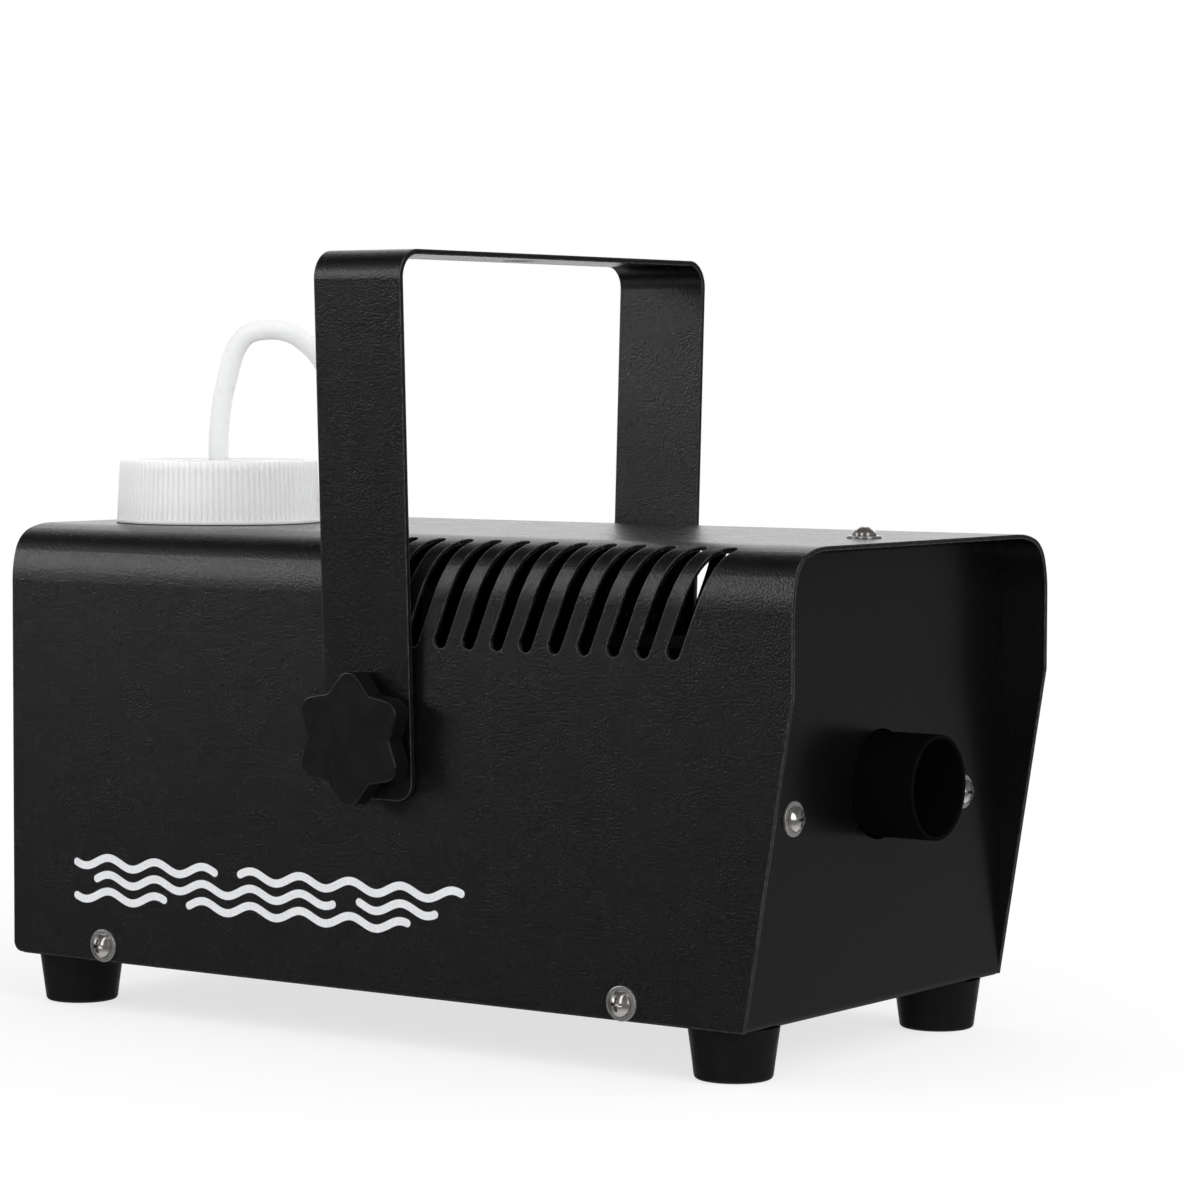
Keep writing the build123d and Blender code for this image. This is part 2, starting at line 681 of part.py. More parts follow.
def bottle_cradle():
    """Stepped sheet under the bottle, with two tall guides beside it."""
    with BuildPart() as piece:
        with BuildSketch(at_y(62)):
            with BuildLine():
                Polyline(
                    (-53.5, FLOOR), (-46, FLOOR), (-46, 19), (7, 19), (7, FLOOR),
                    (8, FLOOR), (8, 20), (-47, 20), (-47, FLOOR + 1.0), (-53.5, FLOOR + 1.0),
                    close=True,
                )
            make_face()
        extrude(amount=-35)
        with BuildSketch(at_z(FLOOR - 2)), Locations(*CRADLE_FEET):
            Circle(BITE_R)
        extrude(amount=5, mode=Mode.SUBTRACT)
        # the guides, then the tabs that join them to the sheet
        with Locations((-49.0, 81, 35), (9.0, 81, 35)):
            Box(1.0, 20, 32)
        with Locations((-48.0, 81, 19.5), (8.25, 81, 19.5)):
            Box(3.0, 20, 1.0)
    return piece.part


# ---------------------------------------------------------------- intake tube
TUBE_R, TUBE_BORE = 2.5, 1.5
TUBE_LOW = 34            # lower end of the tube, inside the filter
PUMP_X, PUMP_Y = 12.0, 36.0
PUMP = (PUMP_X, PUMP_Y)
TUBE_RUN = math.hypot(0 - CAP_X, GROMMET_Y - CAP_Y)   # level, cap's axis to grommet
# The arch: distance level from the cap's axis towards the grommet, z.
TUBE_ARCH = (
    (0, 138.5), (0.85, 147.5), (2.2, 153.7), (4.6, 161.5), (7.4, 164.8), (13.2, 166.0),
    (18.2, 165.2), (21.8, 163.1), (25.2, 159.8), (30.5, 151.0), (34.6, 136.0),
    (TUBE_RUN, 121.0),
)


def arch_point(level, z):
    """Point `level` along the run from the cap's axis to the grommet, at height z."""
    run_x, run_y = (0 - CAP_X) / TUBE_RUN, (GROMMET_Y - CAP_Y) / TUBE_RUN
    return (CAP_X + run_x * level, CAP_Y + run_y * level, z)


def intake_tube():
    """Rises on the cap's axis, arches forward and down through the grommet to the pump."""
    with BuildPart() as piece:
        with BuildLine() as centre:
            Line((CAP_X, CAP_Y, TUBE_LOW), arch_point(*TUBE_ARCH[0]))
            Spline(
                *[arch_point(level, z) for level, z in TUBE_ARCH],
                tangents=[(0, 0, 1), (0, 0, -1)],
            )
            Line(arch_point(*TUBE_ARCH[-1]), arch_point(TUBE_RUN, 112.0))
            Spline(
                arch_point(TUBE_RUN, 112.0),
                (PUMP_X, PUMP_Y, 99.0),
                tangents=[(0, 0, -1), (0, 0, -1)],
            )
            Line((PUMP_X, PUMP_Y, 99.0), (PUMP_X, PUMP_Y, 91.0))
        with BuildSketch(at_z(TUBE_LOW)), Locations(CAP):
            ring(TUBE_R, TUBE_BORE)
        sweep(path=centre.line)
    return piece.part


def tube_filter():
    with BuildPart() as piece:
        with BuildSketch(at_z(23)), Locations(CAP):
            Circle(5.0)
        extrude(amount=14)
        fillet(edges().filter_by(GeomType.CIRCLE), 1.0)
        for low, radius, depth in ((TUBE_LOW, TUBE_R, 5), (20, 1.2, 20)):
            with BuildSketch(at_z(low)), Locations(CAP):
                Circle(radius)
            extrude(amount=depth, mode=Mode.SUBTRACT)
    return piece.part


def tube_grommet():
    # half section: radius, height from the cover's top face
    profile = (
        (2.55, -2.6), (6.2, -2.6), (6.2, -SHEET), (GROMMET_SEAT_R, -SHEET),
        (GROMMET_SEAT_R, 0), (6.2, 0), (6.2, 0.8), (5.4, 1.8), (3.2, 2.2), (2.55, 1.8),
    )
    with BuildPart() as piece:
        with BuildSketch(Plane.XZ):
            with BuildLine():
                Polyline(*[(radius, COVER_TOP + rise) for radius, rise in profile], close=True)
            make_face()
        revolve(axis=Axis.Z)
    piece.part.position = (0, GROMMET_Y, 0)
    return piece.part


# ---------------------------------------------------------------- pump
SLEEVE_R = 5.5           # upright sleeve of the pump body
LIQUID_R = 1.1           # bore the fluid runs through
OUTLET_Z = 28
COIL_R, COIL_LOW, COIL_H = 15.0, 46, 32
YOKE_SIZE, YOKE_T, YOKE_Z = 36, 2, 62    # square yoke round the coil
YOKE_D = 20                              # yoke and bracket depth along Y
YOKE_FRONT = PUMP_Y - YOKE_D / 2
YOKE_RIGHT = PUMP_X + YOKE_SIZE / 2
OUTLET_START_X = PUMP_X - 9.5
OUTLET_TURN_X = -10      # where the outlet tube leaves its level run
PORT_X = -12             # fluid port at the rear of the heater block
PORT = (PORT_X, NOZZLE_Z)


def pump_body():
    with BuildPart() as piece:
        with BuildSketch(at_z(22)), Locations(PUMP):
            Circle(9.0)
        extrude(amount=18)
        fillet(edges().group_by(Axis.Z)[0], 1.0)
        with BuildSketch(at_z(40)), Locations(PUMP):
            Circle(SLEEVE_R)
        extrude(amount=48)
        with BuildSketch(at_z(42)), Locations(PUMP):
            Circle(4.05)
        extrude(amount=50, mode=Mode.SUBTRACT)
        # outlet spout towards the left, its bore, and the bore up to the sleeve
        with BuildSketch(at_x(PUMP_X - 22)), Locations((PUMP_Y, OUTLET_Z)):
            Circle(2.0)
        extrude(amount=16)
        with BuildSketch(at_x(PUMP_X - 23)), Locations((PUMP_Y, OUTLET_Z)):
            Circle(LIQUID_R)
        extrude(amount=23, mode=Mode.SUBTRACT)
        with BuildSketch(at_z(OUTLET_Z)), Locations(PUMP):
            Circle(LIQUID_R)
        extrude(amount=20, mode=Mode.SUBTRACT)
    return piece.part


def pump_coil():
    with BuildPart() as piece:
        with BuildSketch(at_z(COIL_LOW)), Locations(PUMP):
            ring(COIL_R, SLEEVE_R + 0.1)
        extrude(amount=COIL_H)
        for end in (-1, 0):
            fillet(edges().group_by(Axis.Z)[end].sort_by(SortBy.LENGTH)[-1], 1.0)
    return piece.part


def pump_yoke():
    inner = YOKE_SIZE - 2 * YOKE_T
    with BuildPart() as piece:
        with BuildSketch(at_y(YOKE_FRONT)), Locations((PUMP_X, YOKE_Z)):
            Rectangle(YOKE_SIZE, YOKE_SIZE)
            Rectangle(inner, inner, mode=Mode.SUBTRACT)
        extrude(amount=-YOKE_D)
        with BuildSketch(at_z(40)), Locations(PUMP):
            Circle(SLEEVE_R + 0.1)
        extrude(amount=45, mode=Mode.SUBTRACT)
    return piece.part


def pump_inlet():
    """Cap on the pump sleeve with a spout for the intake tube."""
    # lower end, radius, length, mode
    steps = (
        (80, 8.0, 10, Mode.ADD),
        (90, TUBE_BORE, 9, Mode.ADD),
        (79, SLEEVE_R, 9, Mode.SUBTRACT),
        (79, 0.8, 22, Mode.SUBTRACT),
    )
    with BuildPart() as piece:
        for low, radius, length, mode in steps:
            with BuildSketch(at_z(low)), Locations(PUMP):
                Circle(radius)
            extrude(amount=length, mode=mode)
    return piece.part


def pump_plunger():
    with BuildPart() as piece:
        with BuildSketch(at_z(52)), Locations(PUMP):
            ring(4.0, 1.0)
        extrude(amount=22)
    return piece.part


def pump_spring():
    with BuildPart() as piece:
        with BuildLine() as coil:
            Helix(pitch=1.8, height=9.0, radius=3.0, center=(PUMP_X, PUMP_Y, 42.5))
        with BuildSketch(Plane(origin=coil.line @ 0, z_dir=coil.line % 0)):
            Circle(0.45)
        sweep(path=coil.line, is_frenet=True)
    return piece.part


def pump_bracket():
    with BuildPart() as piece:
        with BuildSketch(at_y(YOKE_FRONT)):
            with BuildLine():
                Polyline(
                    (14, FLOOR), (33.5, FLOOR), (33.5, 74),
                    (32, 74), (32, FLOOR + 1.5), (14, FLOOR + 1.5),
                    close=True,
                )
            make_face()
        extrude(amount=-YOKE_D)
        with BuildSketch(at_z(FLOOR - 1)), Locations(*PUMP_FEET):
            Circle(BITE_R)
        extrude(amount=4, mode=Mode.SUBTRACT)
    return piece.part


def pump_mounts():
    """Two discs between the yoke and the pump bracket."""
    with BuildPart() as piece:
        with BuildSketch(at_x(YOKE_RIGHT)), Locations((PUMP_Y, 52), (PUMP_Y, 70)):
            Circle(4.0)
        extrude(amount=2)
    return piece.part


def outlet_tube():
    """From the pump's spout up to the port at the rear of the heater block."""
    bend_start = (OUTLET_TURN_X, PUMP_Y, OUTLET_Z)
    bend_end = (PORT_X, 21, NOZZLE_Z)
    with BuildPart() as piece:
        with BuildLine() as centre:
            Line((OUTLET_START_X, PUMP_Y, OUTLET_Z), bend_start)
            Spline(
                bend_start, (-22, PUMP_Y + 1, 42), bend_end,
                tangents=[(-1, 0, 0), (0, -1, 0)],
            )
            Line(bend_end, (PORT_X, 9.5, NOZZLE_Z))
        with BuildSketch(at_x(OUTLET_START_X)), Locations((PUMP_Y, OUTLET_Z)):
            ring(3.0, 2.0)
        sweep(path=centre.line)
    return piece.part


# ---------------------------------------------------------------- heater
BLOCK = 46.0             # heater block width and height
BLOCK_Y0, BLOCK_Y1 = -84.0, 4.0
ELEMENT_X, ELEMENT_Z, ELEMENT_R = 14.0, 46.3, 4.0
ELEMENT_REAR, ELEMENT_TURN_Y = 12, -54   # ends of the legs, start of the U bend
PORT_R, PASSAGE_R = 4.0, 1.5
HEX_FRONT = -85.5        # front of the heater bracket, where nozzle and shroud sit
SLEEVE_FRONT, SLEEVE_LEN = -82, 84       # insulation and heat shield

SHROUD_R, SHROUD_T = 12.0, 1.0
SHROUD_FRONT = -117.5
BRACKET_T = 1.5
THERMOSTAT = (12, 68)
FUSE_Y, FUSE_Z = BLOCK_Y1 + 2.2, 80


def heating_element():
    """U-shaped rod with a thin terminal pin on each rear end."""
    with BuildPart() as piece:
        with BuildLine() as centre:
            left_turn = (-ELEMENT_X, ELEMENT_TURN_Y, ELEMENT_Z)
            right_turn = (ELEMENT_X, ELEMENT_TURN_Y, ELEMENT_Z)
            Line((-ELEMENT_X, ELEMENT_REAR, ELEMENT_Z), left_turn)
            ThreePointArc(left_turn, (0, ELEMENT_TURN_Y - ELEMENT_X, ELEMENT_Z), right_turn)
            Line(right_turn, (ELEMENT_X, ELEMENT_REAR, ELEMENT_Z))
        rear_end = Plane(origin=(-ELEMENT_X, ELEMENT_REAR, ELEMENT_Z), z_dir=(0, -1, 0))
        with BuildSketch(rear_end):
            Circle(ELEMENT_R)
        sweep(path=centre.line)
        legs = [(-ELEMENT_X, ELEMENT_Z), (ELEMENT_X, ELEMENT_Z)]
        with BuildSketch(at_y(ELEMENT_REAR)), Locations(*legs):
            Circle(1.4)
        extrude(amount=-4.5)
    return piece.part


def heater_block():
    element = heating_element()
    # Bores along Y: place (x, z), start y, radius, amount (negative runs rearwards).
    bores = (
        (NOZZLE, BLOCK_Y0 - 1, PORT_R, -13),
        (NOZZLE, BLOCK_Y0 - 1, PASSAGE_R, -27),
        (PORT, BLOCK_Y1 + 1, PORT_R, 9),
        (PORT, BLOCK_Y1 + 1, PASSAGE_R, 65),
    )
    with BuildPart() as piece:
        with BuildSketch(at_y(BLOCK_Y1)), Locations(NOZZLE):
            RectangleRounded(BLOCK, BLOCK, 4)
        extrude(amount=BLOCK_Y1 - BLOCK_Y0)
        add(element, mode=Mode.SUBTRACT)
        for place, start, radius, amount in bores:
            with BuildSketch(at_y(start)), Locations(place):
                Circle(radius)
            extrude(amount=amount, mode=Mode.SUBTRACT)
        # cross passage joining the two
        with BuildSketch(at_x(PORT_X)), Locations((-58.5, NOZZLE_Z)):
            Circle(PASSAGE_R)
        extrude(amount=-PORT_X, mode=Mode.SUBTRACT)
        # screw hole for the rear bracket
        with BuildSketch(at_y(BLOCK_Y1 + 1)), Locations((0, ELEMENT_Z)):
            Circle(BITE_R)
        extrude(amount=10, mode=Mode.SUBTRACT)
    return piece.part


def inlet_fitting():
    with BuildPart() as piece:
        with BuildSketch(at_y(-4)), Locations(PORT):
            Circle(PORT_R)
        extrude(amount=-8)
        with BuildSketch(at_y(BLOCK_Y1)), Locations(PORT):
            RegularPolygon(6.0, 6)
        extrude(amount=-5)
        with BuildSketch(at_y(BLOCK_Y1 + 5)), Locations(PORT):
            Circle(2.0)
        extrude(amount=-11)
        with BuildSketch(at_y(-6)), Locations(PORT):
            Circle(LIQUID_R)
        extrude(amount=-30, mode=Mode.SUBTRACT)
    return piece.part


def nozzle_tip():
    hex_len = 7
    with BuildPart() as piece:
        with BuildSketch(at_y(-72)), Locations(NOZZLE):
            Circle(PORT_R)
        extrude(amount=-72 - HEX_FRONT)
        with BuildSketch(at_y(HEX_FRONT)), Locations(NOZZLE):
            RegularPolygon(8.0, 6)
        extrude(amount=hex_len)
        with BuildSketch(at_y(HEX_FRONT - hex_len)), Locations(NOZZLE):
            Circle(4.5)
        extrude(amount=16)
        chamfer(faces().sort_by(Axis.Y)[0].edges(), 1.2)
        with BuildSketch(at_y(-70)), Locations(NOZZLE):
            Circle(1.0)
        extrude(amount=45, mode=Mode.SUBTRACT)
    return piece.part


def nozzle_shroud():
    """Tube round the nozzle with a flange at its rear end."""
    with BuildPart() as piece:
        with BuildSketch(at_y(HEX_FRONT)), Locations(NOZZLE):
            ring(SHROUD_R, SHROUD_R - SHROUD_T)
        extrude(amount=HEX_FRONT - SHROUD_FRONT)
        with BuildSketch(at_y(HEX_FRONT)), Locations(NOZZLE):
            ring(15.5, SHROUD_R - SHROUD_T)
        extrude(amount=1.2)
        fillet(faces().sort_by(Axis.Y)[0].edges(), 0.35)
    return piece.part


def block_sleeve(outer, outer_corner, inner, inner_corner):
    """Square sleeve with rounded corners round the heater block."""
    with BuildPart() as piece:
        with BuildSketch(at_y(SLEEVE_FRONT)), Locations(NOZZLE):
            RectangleRounded(outer, outer, outer_corner)
            RectangleRounded(inner, inner, inner_corner, mode=Mode.SUBTRACT)
        extrude(amount=-SLEEVE_LEN)
    return piece.part


def insulation_wrap():
    return block_sleeve(outer=58.0, outer_corner=9, inner=46.3, inner_corner=4)


def heat_shield():
    return block_sleeve(outer=60.2, outer_corner=10, inner=58.6, inner_corner=9.2)


def front_bracket():
    """Hat-shaped strip between the front panel and the heater block."""
    with BuildPart() as piece:
        with BuildSketch(at_z(48)):
            with BuildLine():
                Polyline(
                    (-43, -101), (-30.5, -101), (-30.5, HEX_FRONT), (30.5, HEX_FRONT),
                    (30.5, -101), (43, -101), (43, -99.5), (32, -99.5),
                    (32, BLOCK_Y0), (-32, BLOCK_Y0), (-32, -99.5), (-43, -99.5),
                    close=True,
                )
            make_face()
        extrude(amount=28)
        with BuildSketch(at_y(-110)):
            with Locations(NOZZLE):
                Circle(PORT_R)
            with Locations(*FRONT_SCREWS):
                Circle(BITE_R)
        extrude(amount=-30, mode=Mode.SUBTRACT)
    return piece.part


def rear_bracket():
    with BuildPart() as piece:
        with BuildSketch(at_x(-8)):
            with BuildLine():
                Polyline(
                    (BLOCK_Y1, FLOOR), (16, FLOOR), (16, FLOOR + BRACKET_T),
                    (BLOCK_Y1 + BRACKET_T, FLOOR + BRACKET_T),
                    (BLOCK_Y1 + BRACKET_T, 52), (BLOCK_Y1, 52),
                    close=True,
                )
            make_face()
        extrude(amount=16)
        with Locations((0, 10, FLOOR + BRACKET_T / 2)):
            Box(36, 12, BRACKET_T)
        with BuildSketch(at_z(FLOOR - 1)), Locations(*HEATER_FEET):
            Circle(BITE_R)
        extrude(amount=4, mode=Mode.SUBTRACT)
        with BuildSketch(at_y(10)), Locations((0, ELEMENT_Z)):
            Circle(BITE_R)
        extrude(amount=8, mode=Mode.SUBTRACT)
    return piece.part


def bracket_screws():
    """Short screws from the bracket feet into the floor, and one long one into the block."""
    short, long = short_screw(), pan_screw()
    with BuildPart() as piece:
        with Locations(
            *[(x, y, FLOOR + BRACKET_T) for x, y in HEATER_FEET + PUMP_FEET],
            *[(x, y, FLOOR + 1.0) for x, y in CRADLE_FEET],
        ):
            add(short)
        with Locations(Location((0, BLOCK_Y1 + BRACKET_T, ELEMENT_Z), (-90, 0, 0))):
            add(long)
    return piece.part


def thermostat():
    """Stepped disc on the rear of the block, with two blade terminals."""
    with BuildPart() as piece:
        with BuildSketch(at_y(BLOCK_Y1)), Locations(THERMOSTAT):
            Circle(7.9)
        extrude(amount=-4)
        with BuildSketch(at_y(BLOCK_Y1 + 4)), Locations(THERMOSTAT):
            Circle(6.6)
        extrude(amount=-5)
        blades = [(THERMOSTAT[0] + x, THERMOSTAT[1]) for x in (-3.5, 3.5)]
        with BuildSketch(at_y(BLOCK_Y1 + 9)), Locations(*blades):
            Rectangle(0.8, 4.8)
        extrude(amount=-4)
    return piece.part


def thermal_fuse():
    with BuildPart() as piece:
        # body, then the lead through it: left end, radius, length
        for left, radius, length in ((-7, 2.2, 12), (-12, 0.5, 22)):
            with BuildSketch(at_x(left)), Locations((FUSE_Y, FUSE_Z)):
                Circle(radius)
            extrude(amount=length)
    return piece.part


# ---------------------------------------------------------------- electronics
BOARD_Z, BOARD_T = 20, 1.6
BOARD_TOP = BOARD_Z + BOARD_T
STANDOFF_H = 6.5
TERMINAL_X = 22
TERMINAL_Y = (64, 69, 74, 78.5)


def control_board():
    with BuildPart() as piece:
        with BuildSketch(at_z(BOARD_Z)):
            with Locations(BOARD_XY):
                Rectangle(36, 32)
            with Locations(*BOARD_HOLES):
                Circle(1.6, mode=Mode.SUBTRACT)
        extrude(amount=BOARD_T)
    return piece.part


def board_standoffs():
    with BuildPart() as piece:
        with BuildSketch(at_z(FLOOR)), Locations(*BOARD_HOLES):
            RegularPolygon(2.9, 6)
        extrude(amount=STANDOFF_H)
        with BuildSketch(at_z(FLOOR + STANDOFF_H)), Locations(*BOARD_HOLES):
            Circle(1.5)
        extrude(amount=2.4)
    return piece.part


def relay():
    with BuildPart() as piece:
        with BuildSketch(at_z(BOARD_TOP)), Locations((36, 68)):
            Rectangle(13, 16)
        extrude(amount=15)
        fillet(edges().filter_by(Axis.Z), 0.8)
        chamfer(faces().sort_by(Axis.Z)[-1].edges(), 0.6)
    return piece.part


def mains_transformer():
    with BuildPart() as piece:
        with BuildSketch(at_z(BOARD_TOP)), Locations((36, 82)):
            Rectangle(12, 8)
        extrude(amount=14)
        fillet(edges().filter_by(Axis.Z), 0.6)
    return piece.part


def terminal_block():
    with BuildPart() as piece:
        with BuildSketch(at_z(BOARD_TOP)), Locations((TERMINAL_X, 71)):
            Rectangle(8, 20)
        extrude(amount=10)
        chamfer(edges().filter_by(Axis.Y).group_by(Axis.Z)[-1], 1.5)
        with BuildSketch(at_z(26)), Locations(*[(TERMINAL_X, y) for y in TERMINAL_Y]):
            Circle(1.4)
        extrude(amount=8, mode=Mode.SUBTRACT)
    return piece.part


# ---------------------------------------------------------------- rear fittings
REAR_MOST = 117.5        # rear face of the remote socket
# power inlet pins: x, z
LOWER_PIN = (INLET_X - 8.5, INLET_Z - 7)
UPPER_PIN = (INLET_X - 8.5, INLET_Z + 7)
MIDDLE_PIN = (INLET_X - 4.5, INLET_Z)
PINS = (LOWER_PIN, UPPER_PIN, MIDDLE_PIN)
PIN_W, PIN_H = 4.0, 2.0

INLET_INNER = 95         # front end of the inlet body, inside the machine
DRAWER_X = INLET_X + 8.5
DRAWER_Y0, DRAWER_Y1 = 98, 116.2
FUSE_CENTRE_Y = 106      # mains fuse and its tray

SWITCH_INNER = 98
ROCKER_Y = 110.5         # rocker pivot
ROCKER_TILT = math.radians(11)
CONTACT_RING_R, CONTACT_R = 3.6, 0.8


def power_inlet():
    with BuildPart() as piece:
        with BuildSketch(at_y(PANEL_REAR)):
            with Locations(INLET):
                RectangleRounded(33, 50, 4)
            with Locations(*INLET_SCREWS):
                Circle(CLEAR_R, mode=Mode.SUBTRACT)
        extrude(amount=-INLET_FLANGE_T)
        fillet(faces().sort_by(Axis.Y)[-1].outer_wire().edges(), 0.6)
        with BuildSketch(at_y(INLET_INNER)), Locations(INLET):
            RectangleRounded(31, 27.4, 1.4)
        extrude(amount=-(PANEL_REAR - INLET_INNER))
        # plug cavity
        with BuildSketch(at_y(98)):
            with BuildLine():
                Polyline(
                    (INLET_X - 14.5, INLET_Z - 12), (INLET_X + 1.5, INLET_Z - 12),
                    (INLET_X + 1.5, INLET_Z + 12), (INLET_X - 14.5, INLET_Z + 12),
                    close=True,
                )
            make_face()
            chamfer(vertices().group_by(Axis.X)[0], 4.0)
        extrude(amount=-30, mode=Mode.SUBTRACT)
        # fuse drawer bay
        with BuildSketch(at_y(97)), Locations((DRAWER_X, INLET_Z)):
            Rectangle(10.2, 24.2)
        extrude(amount=-30, mode=Mode.SUBTRACT)
        # slots the pins stand in
        with BuildSketch(at_y(90)), Locations(*PINS):
            Rectangle(PIN_W, PIN_H)
        extrude(amount=-20, mode=Mode.SUBTRACT)
    return piece.part


def inlet_pins():
    with BuildPart() as piece:
        with BuildSketch(at_y(87)), Locations(*PINS):
            Rectangle(PIN_W, PIN_H)
        extrude(amount=-25)
        chamfer(faces().group_by(Axis.Y)[-1].edges(), 0.4)
    return piece.part


def fuse_drawer():
    with BuildPart() as piece:
        with BuildSketch(at_y(DRAWER_Y0)), Locations((DRAWER_X, INLET_Z)):
            Rectangle(10.0, 24.0)
        extrude(amount=-(DRAWER_Y1 - DRAWER_Y0))
        # small ridge on the rear face
        with BuildSketch(at_y(DRAWER_Y1)), Locations((DRAWER_X, INLET_Z + 10.2)):
            Rectangle(7.0, 2.0)
        extrude(amount=-1.0)
        # open tray for the fuse
        with BuildSketch(at_x(INLET_X + 5.5)), Locations((FUSE_CENTRE_Y, INLET_Z)):
            Rectangle(8, 21)
        extrude(amount=10, mode=Mode.SUBTRACT)
    return piece.part


def mains_fuse():
    with BuildPart() as piece:
        with BuildSketch(at_z(INLET_Z - 10)), Locations((INLET_X + 8.2, FUSE_CENTRE_Y)):
            Circle(2.5)
        extrude(amount=20)
        chamfer(edges().filter_by(GeomType.CIRCLE), 0.3)
    return piece.part


def switch_body():
    with BuildPart() as piece:
        with BuildSketch(at_y(PANEL_REAR)), Locations(SWITCH):
            RectangleRounded(15, 21, 1.2)
        extrude(amount=-1.8)
        fillet(faces().sort_by(Axis.Y)[-1].outer_wire().edges(), 0.5)
        with BuildSketch(at_y(SWITCH_INNER)), Locations(SWITCH):
            Rectangle(12.8, 18.8)
        extrude(amount=-(PANEL_REAR - SWITCH_INNER))
        with BuildSketch(at_y(104)), Locations(SWITCH):
            Rectangle(10.4, 17.2)
        extrude(amount=-20, mode=Mode.SUBTRACT)
        # sockets for the rocker's pivot
        with BuildSketch(at_x(SWITCH_X - 6.1)), Locations((ROCKER_Y, SWITCH_Z)):
            Circle(1.05)
        extrude(amount=12.2, mode=Mode.SUBTRACT)
        # blade terminals
        blades = [(SWITCH_X, SWITCH_Z + z) for z in (-6, 6)]
        with BuildSketch(at_y(SWITCH_INNER)), Locations(*blades):
            Rectangle(4.8, 0.8)
        extrude(amount=7)
    return piece.part


def switch_rocker():
    """Rocker with a hollow face, tilted about its pivot with the upper end pressed in."""
    tilted = Plane(
        origin=(SWITCH_X - 5.0, ROCKER_Y, SWITCH_Z),
        x_dir=(0, math.cos(ROCKER_TILT), math.sin(ROCKER_TILT)),
        z_dir=(1, 0, 0),
    )
    with BuildPart() as piece:
        with BuildSketch(tilted):
            with BuildLine():
                Polyline(
                    (4.6, -7.8), (1.6, -7.6), (-2.2, -1.6),
                    (-2.2, 1.6), (1.6, 7.6), (4.6, 7.8),
                )
                ThreePointArc((4.6, 7.8), (3.4, 0), (4.6, -7.8))
            make_face()
        extrude(amount=10.0)
        with BuildSketch(at_x(SWITCH_X - 6.0)), Locations((ROCKER_Y, SWITCH_Z)):
            Circle(1.0)
        extrude(amount=12.0)
    return piece.part


def remote_socket():
    inner_end = 100.5
    with BuildPart() as piece:
        with BuildSketch(at_y(inner_end)), Locations(SOCKET):
            Circle(SOCKET_R)
        extrude(amount=-(REAR_MOST - inner_end))
        with BuildSketch(at_y(PANEL_REAR)), Locations(SOCKET):
            Circle(9.2)
        extrude(amount=-1.6)
        fillet(edges().filter_by(GeomType.CIRCLE).group_by(Axis.Y)[-1], 0.3)
        with BuildSketch(at_y(110)), Locations(SOCKET):
            Circle(6.6)
        extrude(amount=-20, mode=Mode.SUBTRACT)
        # keyway in the rim
        with BuildSketch(at_y(113.5)), Locations((SOCKET_X, SOCKET_Z + 6.6)):
            Rectangle(1.8, 1.0)
        extrude(amount=-9, mode=Mode.SUBTRACT)
        # contact holes
        with BuildSketch(at_y(95)), Locations(SOCKET):
            with PolarLocations(CONTACT_RING_R, 5, start_angle=-90):
                Circle(CONTACT_R)
        extrude(amount=-20, mode=Mode.SUBTRACT)
    return piece.part


def remote_contacts():
    with BuildPart() as piece:
        with BuildSketch(at_y(97)), Locations(SOCKET):
            with PolarLocations(CONTACT_RING_R, 5, start_angle=-90):
                ring(CONTACT_R, 0.5)
        extrude(amount=-12.2)
    return piece.part


def remote_nut():
    with BuildPart() as piece:
        with BuildSketch(at_y(PANEL_INNER)), Locations(SOCKET):
            hex_ring(10.2, SOCKET_R)
        extrude(amount=2.2)
    return piece.part


def indicator_lamp():
    # front end y, radius, length of the body, rim and lens
    steps = ((103, LAMP_R, PANEL_REAR - 103), (PANEL_REAR, 3.9, 0.9), (PANEL_REAR + 0.9, 2.6, 1.6))
    with BuildPart() as piece:
        for start, radius, length in steps:
            with BuildSketch(at_y(start)), Locations(LAMP):
                Circle(radius)
            extrude(amount=-length)
        fillet(faces().sort_by(Axis.Y)[-1].edges(), 1.2)
    return piece.part


# ---------------------------------------------------------------- wiring
WIRE_R = 1.0
PIN_END_Y = 86.9         # wire ends at the inlet pins
SWITCH_END_Y = 90.9      # wire ends at the switch blades
ELEMENT_END_Y = 16.55    # wire ends at the element's pins
TERMINAL_END_Z = 27      # wire ends in the terminal block


def wires(*runs):
    """One wire along each run; a run is its bend radius and its corner points."""
    with BuildPart() as piece:
        for bend, corners in runs:
            with BuildLine() as centre:
                FilletPolyline(*corners, radius=bend)
            with BuildSketch(Plane(origin=centre.line @ 0, z_dir=centre.line % 0)):
                Circle(WIRE_R)
            sweep(path=centre.line)
    return piece.part


